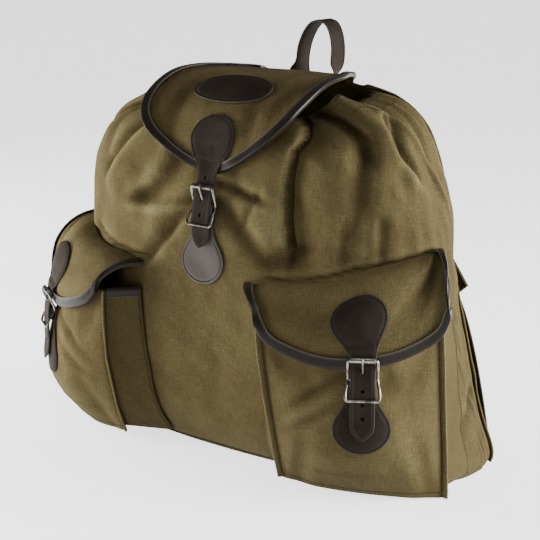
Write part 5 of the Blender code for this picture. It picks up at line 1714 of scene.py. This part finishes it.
def lower_strap(label, local, lower_row, tear_end, finish, is_left):
    """The teardrop under the buckle, with its narrow end folded round the bar."""
    stops = np.linspace(0.0, tear_end - 0.012, 14)
    rows = [(distance, lower_row(NINE, tear_end - distance)) for distance in stops]
    bottom = BAR_OUT - CHAPE_RADIUS
    wrap = [(0.006, bottom)]
    for t in np.radians((0.0, 45.0, 90.0, 135.0, 180.0)):
        wrap.append((-CHAPE_RADIUS * math.sin(t), BAR_OUT - CHAPE_RADIUS * math.cos(t)))
    wrap += [(0.0055, 0.0052), (0.0125, bottom + 0.0005)]
    rows = added_rows(rows, [local(NINE, d, out) for d, out in wrap])
    ground = lattice(rows)
    end = rows[-1][0]
    square_end = [[STRAP_HALF, end - 0.002], [STRAP_HALF - 0.0006, end], [0.0, end]]
    outline = both_sides(np.concatenate([tear_half_outline(), square_end]))
    cut_leather("strap_lower_" + label, outline, ground, 1.0, finish, ["lower_tab_" + label],
                grooved=GROOVE_REACH, spine=(TEAR_SPINE, end - 0.001), is_left=is_left)
    seam = tear_seam(outline, LOWER_SEAM_REACH, ground, 1.0, is_left)
    sew("strap_lower_stitches_" + label, [seam])


def fasten(label, origin, down, outward, upper_rows, lower_row, strap_tip, tear_end, holes, is_left,
           finishes):
    """One fastening: its bar's middle is over origin, and the strap runs down."""
    down, outward = unit(np.array(down)), unit(np.array(outward))
    across = np.cross(outward, down)

    def local(a, d, out):
        a, d, out = np.broadcast_arrays(np.asarray(a, float), d, out)
        return origin + a[..., None] * across + d[..., None] * down + out[..., None] * outward

    def wired(line):
        points = local(*np.array(line).T)
        return points * MIRROR if is_left else points

    upper = upper_strap(label, local, upper_rows, strap_tip, finishes[0], is_left)
    lower_strap(label, local, lower_row, tear_end, finishes[1], is_left)
    buckle_frame(label, wired)
    buckle_roller(label, local, is_left)
    buckle_tongue(label, wired, across)
    punched(upper, [[wired([end])[0] for end in PRONG_HOLE]], PRONG_PASSAGE, finishes[0])
    punched(upper, [wired([(0.0, d, 0.0), (0.0, d, HOLE_TOP)]) for d in holes], HOLE_RADIUS, finishes[0])


print("a strap's holes are", round(HOLE_RADIUS * 2000, 1), "mm across")

# %% [markdown]
# The lid's fastening hangs in the bag's middle, and the two others stand square to their pockets. What
# differs between them is given here: where the leather lies, how far it reaches, which holes show, and
# how far the flap's strap leans to one side.

# %% The three fastenings
MAIN_TIP, MAIN_TEAR, MAIN_HOLES = 0.045, 0.085, (-0.0304, 0.0100)
SIDE_TIP, SIDE_TEAR, SIDE_HOLES = 0.062, 0.0775, (0.0114, 0.0254, 0.0394)

main_upper = []
for distance, (station, lift) in MAIN_UPPER_ROWS:
    beside = MAIN_LEAN * (1.0 - distance / MAIN_UPPER_ROWS[-1][0])
    main_upper.append((distance, lid_at(NINE + beside, station, lift + LEATHER)))
steep = math.sqrt(1.0 - MAIN_FALL**2)


def main_lower(a, place):
    return body_front_at(a, MAIN_LEVEL - place * MAIN_FALL, np.full(np.shape(a), SEAT + LEATHER))


fasten("main", body_front_at(0.0, MAIN_LEVEL, 0.0), (0.0, -steep, -MAIN_FALL), (0.0, -MAIN_FALL, steep),
       main_upper, main_lower, MAIN_TIP, MAIN_TEAR, MAIN_HOLES, False, (LEATHER_FINISH, WORN_FINISH))


def side_lower(a, place, is_left):
    z = SIDE_LEVEL - place * SIDE_FALL
    inner_along, outer_along = read(POCKET_EDGES, z, 1), read(POCKET_EDGES, z, 3)
    across = (SIDE_ALONG + a - inner_along) / (outer_along - inner_along)
    return pocket_front(across, z, SEAT + LEATHER, is_left)


ahead = np.array([math.sin(POCKET_ANGLE), -math.cos(POCKET_ANGLE), 0.0])
upright = np.array([0.0, 0.0, 1.0])
side_steep = math.sqrt(1.0 - SIDE_FALL**2)
side_out = ahead * SIDE_FALL + upright * side_steep
side_down = ahead * side_steep - upright * SIDE_FALL
for side in ("right", "left"):
    is_left = side == "left"
    flap = flap_surfaces[side]
    side_upper = []
    for distance, (down, lift) in SIDE_UPPER_ROWS:
        across = SIDE_ACROSS + SIDE_LEAN * (SIDE_UPPER_ROWS[-1][1][0] - down) + NINE / FLAP_WIDTH
        side_upper.append((distance, flap(across, down, np.full(9, lift + LEATHER))))
    across_at = (SIDE_ALONG - POCKET_EDGES[3, 1]) / (POCKET_EDGES[3, 3] - POCKET_EDGES[3, 1])
    fasten(side, pocket_front(across_at, SIDE_LEVEL, 0.0, is_left), side_down, side_out, side_upper,
           lambda a, place, is_left=is_left: side_lower(a, place, is_left),
           SIDE_TIP, SIDE_TEAR, SIDE_HOLES, is_left, (LEATHER_FINISH, LEATHER_FINISH))

# %% [markdown]
# The carry loop is one thick strip of leather. Its ends lie flat on the back panel under the lid's
# seam, and above it the strip turns edgeways. Its section is swept along the same line as the frame's.

# %% The carry loop
HANDLE_LINE = (
    (-0.0250, 0.1060, 0.3800, 0.00), (-0.0250, 0.1062, 0.3920, 0.00), (-0.0250, 0.1125, 0.4020, 0.35),
    (-0.0250, 0.1165, 0.4120, 0.75), (-0.0248, 0.1182, 0.4220, 1.00), (-0.0235, 0.1184, 0.4400, 1.00),
    (-0.0180, 0.1188, 0.4560, 1.00), (-0.0100, 0.1193, 0.4660, 1.00), (0.0000, 0.1195, 0.4690, 1.00),
)
HANDLE_LEAN = np.array(((0.0, 0.003), (0.400, 0.003), (0.469, 0.011)))
HANDLE_THICKNESS = 0.0026
# Columns: side of the middle, face.
BOTH_FACES = ((-1.0, 1.0), (1.0, 1.0), (-1.0, -1.0), (1.0, -1.0))
OUTER_FACE = ((-1.0, -1.0), (1.0, -1.0))


def strip_section(half, thick, crown=0.0):
    """A strap's section: (across, out, edge mark), with eased edges and two stitch grooves."""
    top = thick / 2
    groove = -half + GROOVE_INSET
    upper = [(-half, 0.0, 1.0), (-half + 0.0001, top * 0.6, 1.0), (-half + 0.0007, top, 0.3),
             (groove - 0.0008, top, 0.0), (groove, top - GROOVE_DEPTH, 0.0), (groove + 0.0008, top, 0.0),
             (-half * 0.5, top + crown * 0.7, 0.0), (0.0, top + crown, 0.0)]
    upper += [(-a, out, mark) for a, out, mark in reversed(upper[:-1])]
    lower = [(-a, -out, mark) for a, out, mark in upper[1:]]
    return np.array(upper + lower)


def strap(name, centres, widths, half, thick, finish, slot, nodes, sewn, crown=0.0, is_left=False):
    """A strip swept along centres, with the direction of its width given at each, and its seams."""
    ahead = unit(np.gradient(centres, axis=0))
    widths = unit(widths - ahead * np.sum(widths * ahead, -1, keepdims=True))
    out = np.cross(widths, ahead)
    half = np.zeros(len(centres)) + half
    columns = []
    for number, centre in enumerate(centres):
        section = strip_section(half[number], thick, crown)
        columns.append(centre + widths[number] * section[:, :1] + out[number] * section[:, 1:2])
    points = mirrored(np.array(columns), is_left)
    marks = np.tile(section[:, 2], (len(points), 1))
    piece = swept(name, points, marks, finish, slot, nodes)
    seams = []
    for side_of, face in sewn:
        beside = widths * (side_of * (half - GROOVE_INSET))[:, None]
        line = centres + beside + out * (face * (thick / 2 - THREAD_SINK))
        seams.append((mirrored(line, is_left), mirrored(out * face, is_left)))
    sew(name + "_stitches", seams, slot)
    return piece


half_line = rows_at(HANDLE_LINE, np.linspace(0.0, len(HANDLE_LINE) - 1.0, 70))
centres = np.concatenate([half_line[:, :3], (half_line[:, :3] * MIRROR)[-2::-1]])
centres[:, 0] += read(HANDLE_LEAN, centres[:, 2])
turn_by = half_line[:, 3] * math.pi / 2
widths = np.stack([np.cos(turn_by), np.sin(turn_by), np.zeros(len(turn_by))], -1)
widths = np.concatenate([widths, (widths * MIRROR)[-2::-1]])
strap("handle_loop", centres, widths, STRAP_HALF, HANDLE_THICKNESS, LEATHER_FINISH, "leather",
      ["carry_handle"], BOTH_FACES)

# %% [markdown]
# The shoulder straps are behind the bag. Each is a canvas pad filled with foam, fuller in its middle,
# and a leather strap that goes on from it to the lower corner.

# %% The shoulder straps
SHOULDER_PAD = (
    (0.0640, 0.1034, 0.3780, 0.022), (0.0720, 0.1064, 0.3480, 0.024), (0.0960, 0.1190, 0.2980, 0.025),
    (0.1300, 0.1240, 0.2480, 0.025), (0.1620, 0.1235, 0.2080, 0.025), (0.1900, 0.1205, 0.1740, 0.024),
)
LOWER_STRAP = (
    (0.1740, 0.1174, 0.1940, 0.0125), (0.1960, 0.1128, 0.1640, 0.0125), (0.2120, 0.1078, 0.1300, 0.0125),
    (0.2250, 0.1042, 0.0900, 0.0125), (0.2350, 0.1019, 0.0500, 0.0125), (0.2430, 0.1002, 0.0140, 0.0125),
)
PAD_EDGE = 0.0042
PAD_CROWN = 0.0016
STRAP_STEPS = 90


def strap_frame(table):
    """Middle line, direction of the width and half width of a strap along a table."""
    line = rows_at(table, np.linspace(0.0, len(table) - 1.0, STRAP_STEPS))
    run = unit(np.gradient(line[:, :3], axis=0) * np.array([1.0, 0.0, 1.0]))
    return line[:, :3], np.stack([-run[:, 2], np.zeros(STRAP_STEPS), run[:, 0]], -1), line[:, 3]


for side in ("right", "left"):
    is_left = side == "left"
    pad = strap("pad_" + side, *strap_frame(SHOULDER_PAD), PAD_EDGE, CANVAS_FINISH, "canvas",
                ["shoulder_pad_" + side], BOTH_FACES, PAD_CROWN, is_left)
    strap("strap_to_corner_" + side, *strap_frame(LOWER_STRAP), LEATHER, LEATHER_FINISH, "leather",
          ["lower_strap_" + side], OUTER_FACE, is_left=is_left)

# %% [markdown]
# The bag stands on a white floor in soft light from five softboxes. The brightest is on the camera's
# right, and it models the folds. A weaker one on the left opens the shadows there, a small low one
# lifts the far pocket, one fills the front and one the lid. Glossy leather would show all of them as
# pale patches, so only the right one and the top one are seen in reflections.

# %% The stage and its lights
FLOOR_HALF = 15.0
FLOOR_TONE = (0.40, 0.40, 0.40)
FLOOR_GLOW = 1.9
FLOOR_ROUGHNESS = 0.9
WHITE = (1.0, 1.0, 1.0)
WORLD_STRENGTH = 0.22
# Columns: name, azimuth, height, distance, size, power, colour, in gloss.
LIGHTS = (
    ("right softbox", 114.0, 12.0, 2.0, 1.30, 240.0, (1.0, 0.99, 0.96), True),
    ("left softbox", -84.0, 10.0, 2.0, 1.20, 130.0, (1.0, 0.99, 0.97), False),
    ("low left", -60.0, -3.0, 0.85, 0.34, 20.0, (1.0, 0.99, 0.97), False),
    ("front fill", 8.0, 0.0, 1.9, 1.10, 21.0, WHITE, False),
    ("top", 30.0, 75.0, 2.2, 1.40, 13.0, WHITE, True),
)

floor_mesh = bpy.data.meshes.new("floor")
corners = [(-FLOOR_HALF, -FLOOR_HALF, 0.0), (FLOOR_HALF, -FLOOR_HALF, 0.0),
           (FLOOR_HALF, FLOOR_HALF, 0.0), (-FLOOR_HALF, FLOOR_HALF, 0.0)]
floor_mesh.from_pydata(corners, [], [(0, 1, 2, 3)])
floor = bpy.data.objects.new("floor", floor_mesh)
bpy.context.scene.collection.objects.link(floor)
floor_finish, _, floor_shader = new_finish("white_sweep")
floor_shader.inputs["Base Color"].default_value = (*FLOOR_TONE, 1.0)
floor_shader.inputs["Roughness"].default_value = FLOOR_ROUGHNESS
floor_shader.inputs["Emission Color"].default_value = (*WHITE, 1.0)
floor_shader.inputs["Emission Strength"].default_value = FLOOR_GLOW
floor_mesh.materials.append(floor_finish)

world = bpy.data.worlds.new("white_room")
world.use_nodes = True
background = world.node_tree.nodes["Background"]
background.inputs["Color"].default_value = (*WHITE, 1.0)
background.inputs["Strength"].default_value = WORLD_STRENGTH
bpy.context.scene.world = world

for name, azimuth, height, distance, size, power, colour, in_gloss in LIGHTS:
    light_data = bpy.data.lights.new(name, "AREA")
    light_data.size = size
    light_data.energy = power
    light_data.color = colour
    light = bpy.data.objects.new(name.replace(" ", "_"), light_data)
    light.visible_glossy = in_gloss
    light.visible_camera = False
    away = towards(math.radians(azimuth), math.radians(height))
    facing = away.to_track_quat("Z", "Y").to_matrix().to_4x4()
    light.matrix_world = Matrix.Translation(CAMERA_TARGET + away * distance) @ facing
    bpy.context.scene.collection.objects.link(light)
print("lights:", ", ".join(row[0] for row in LIGHTS))
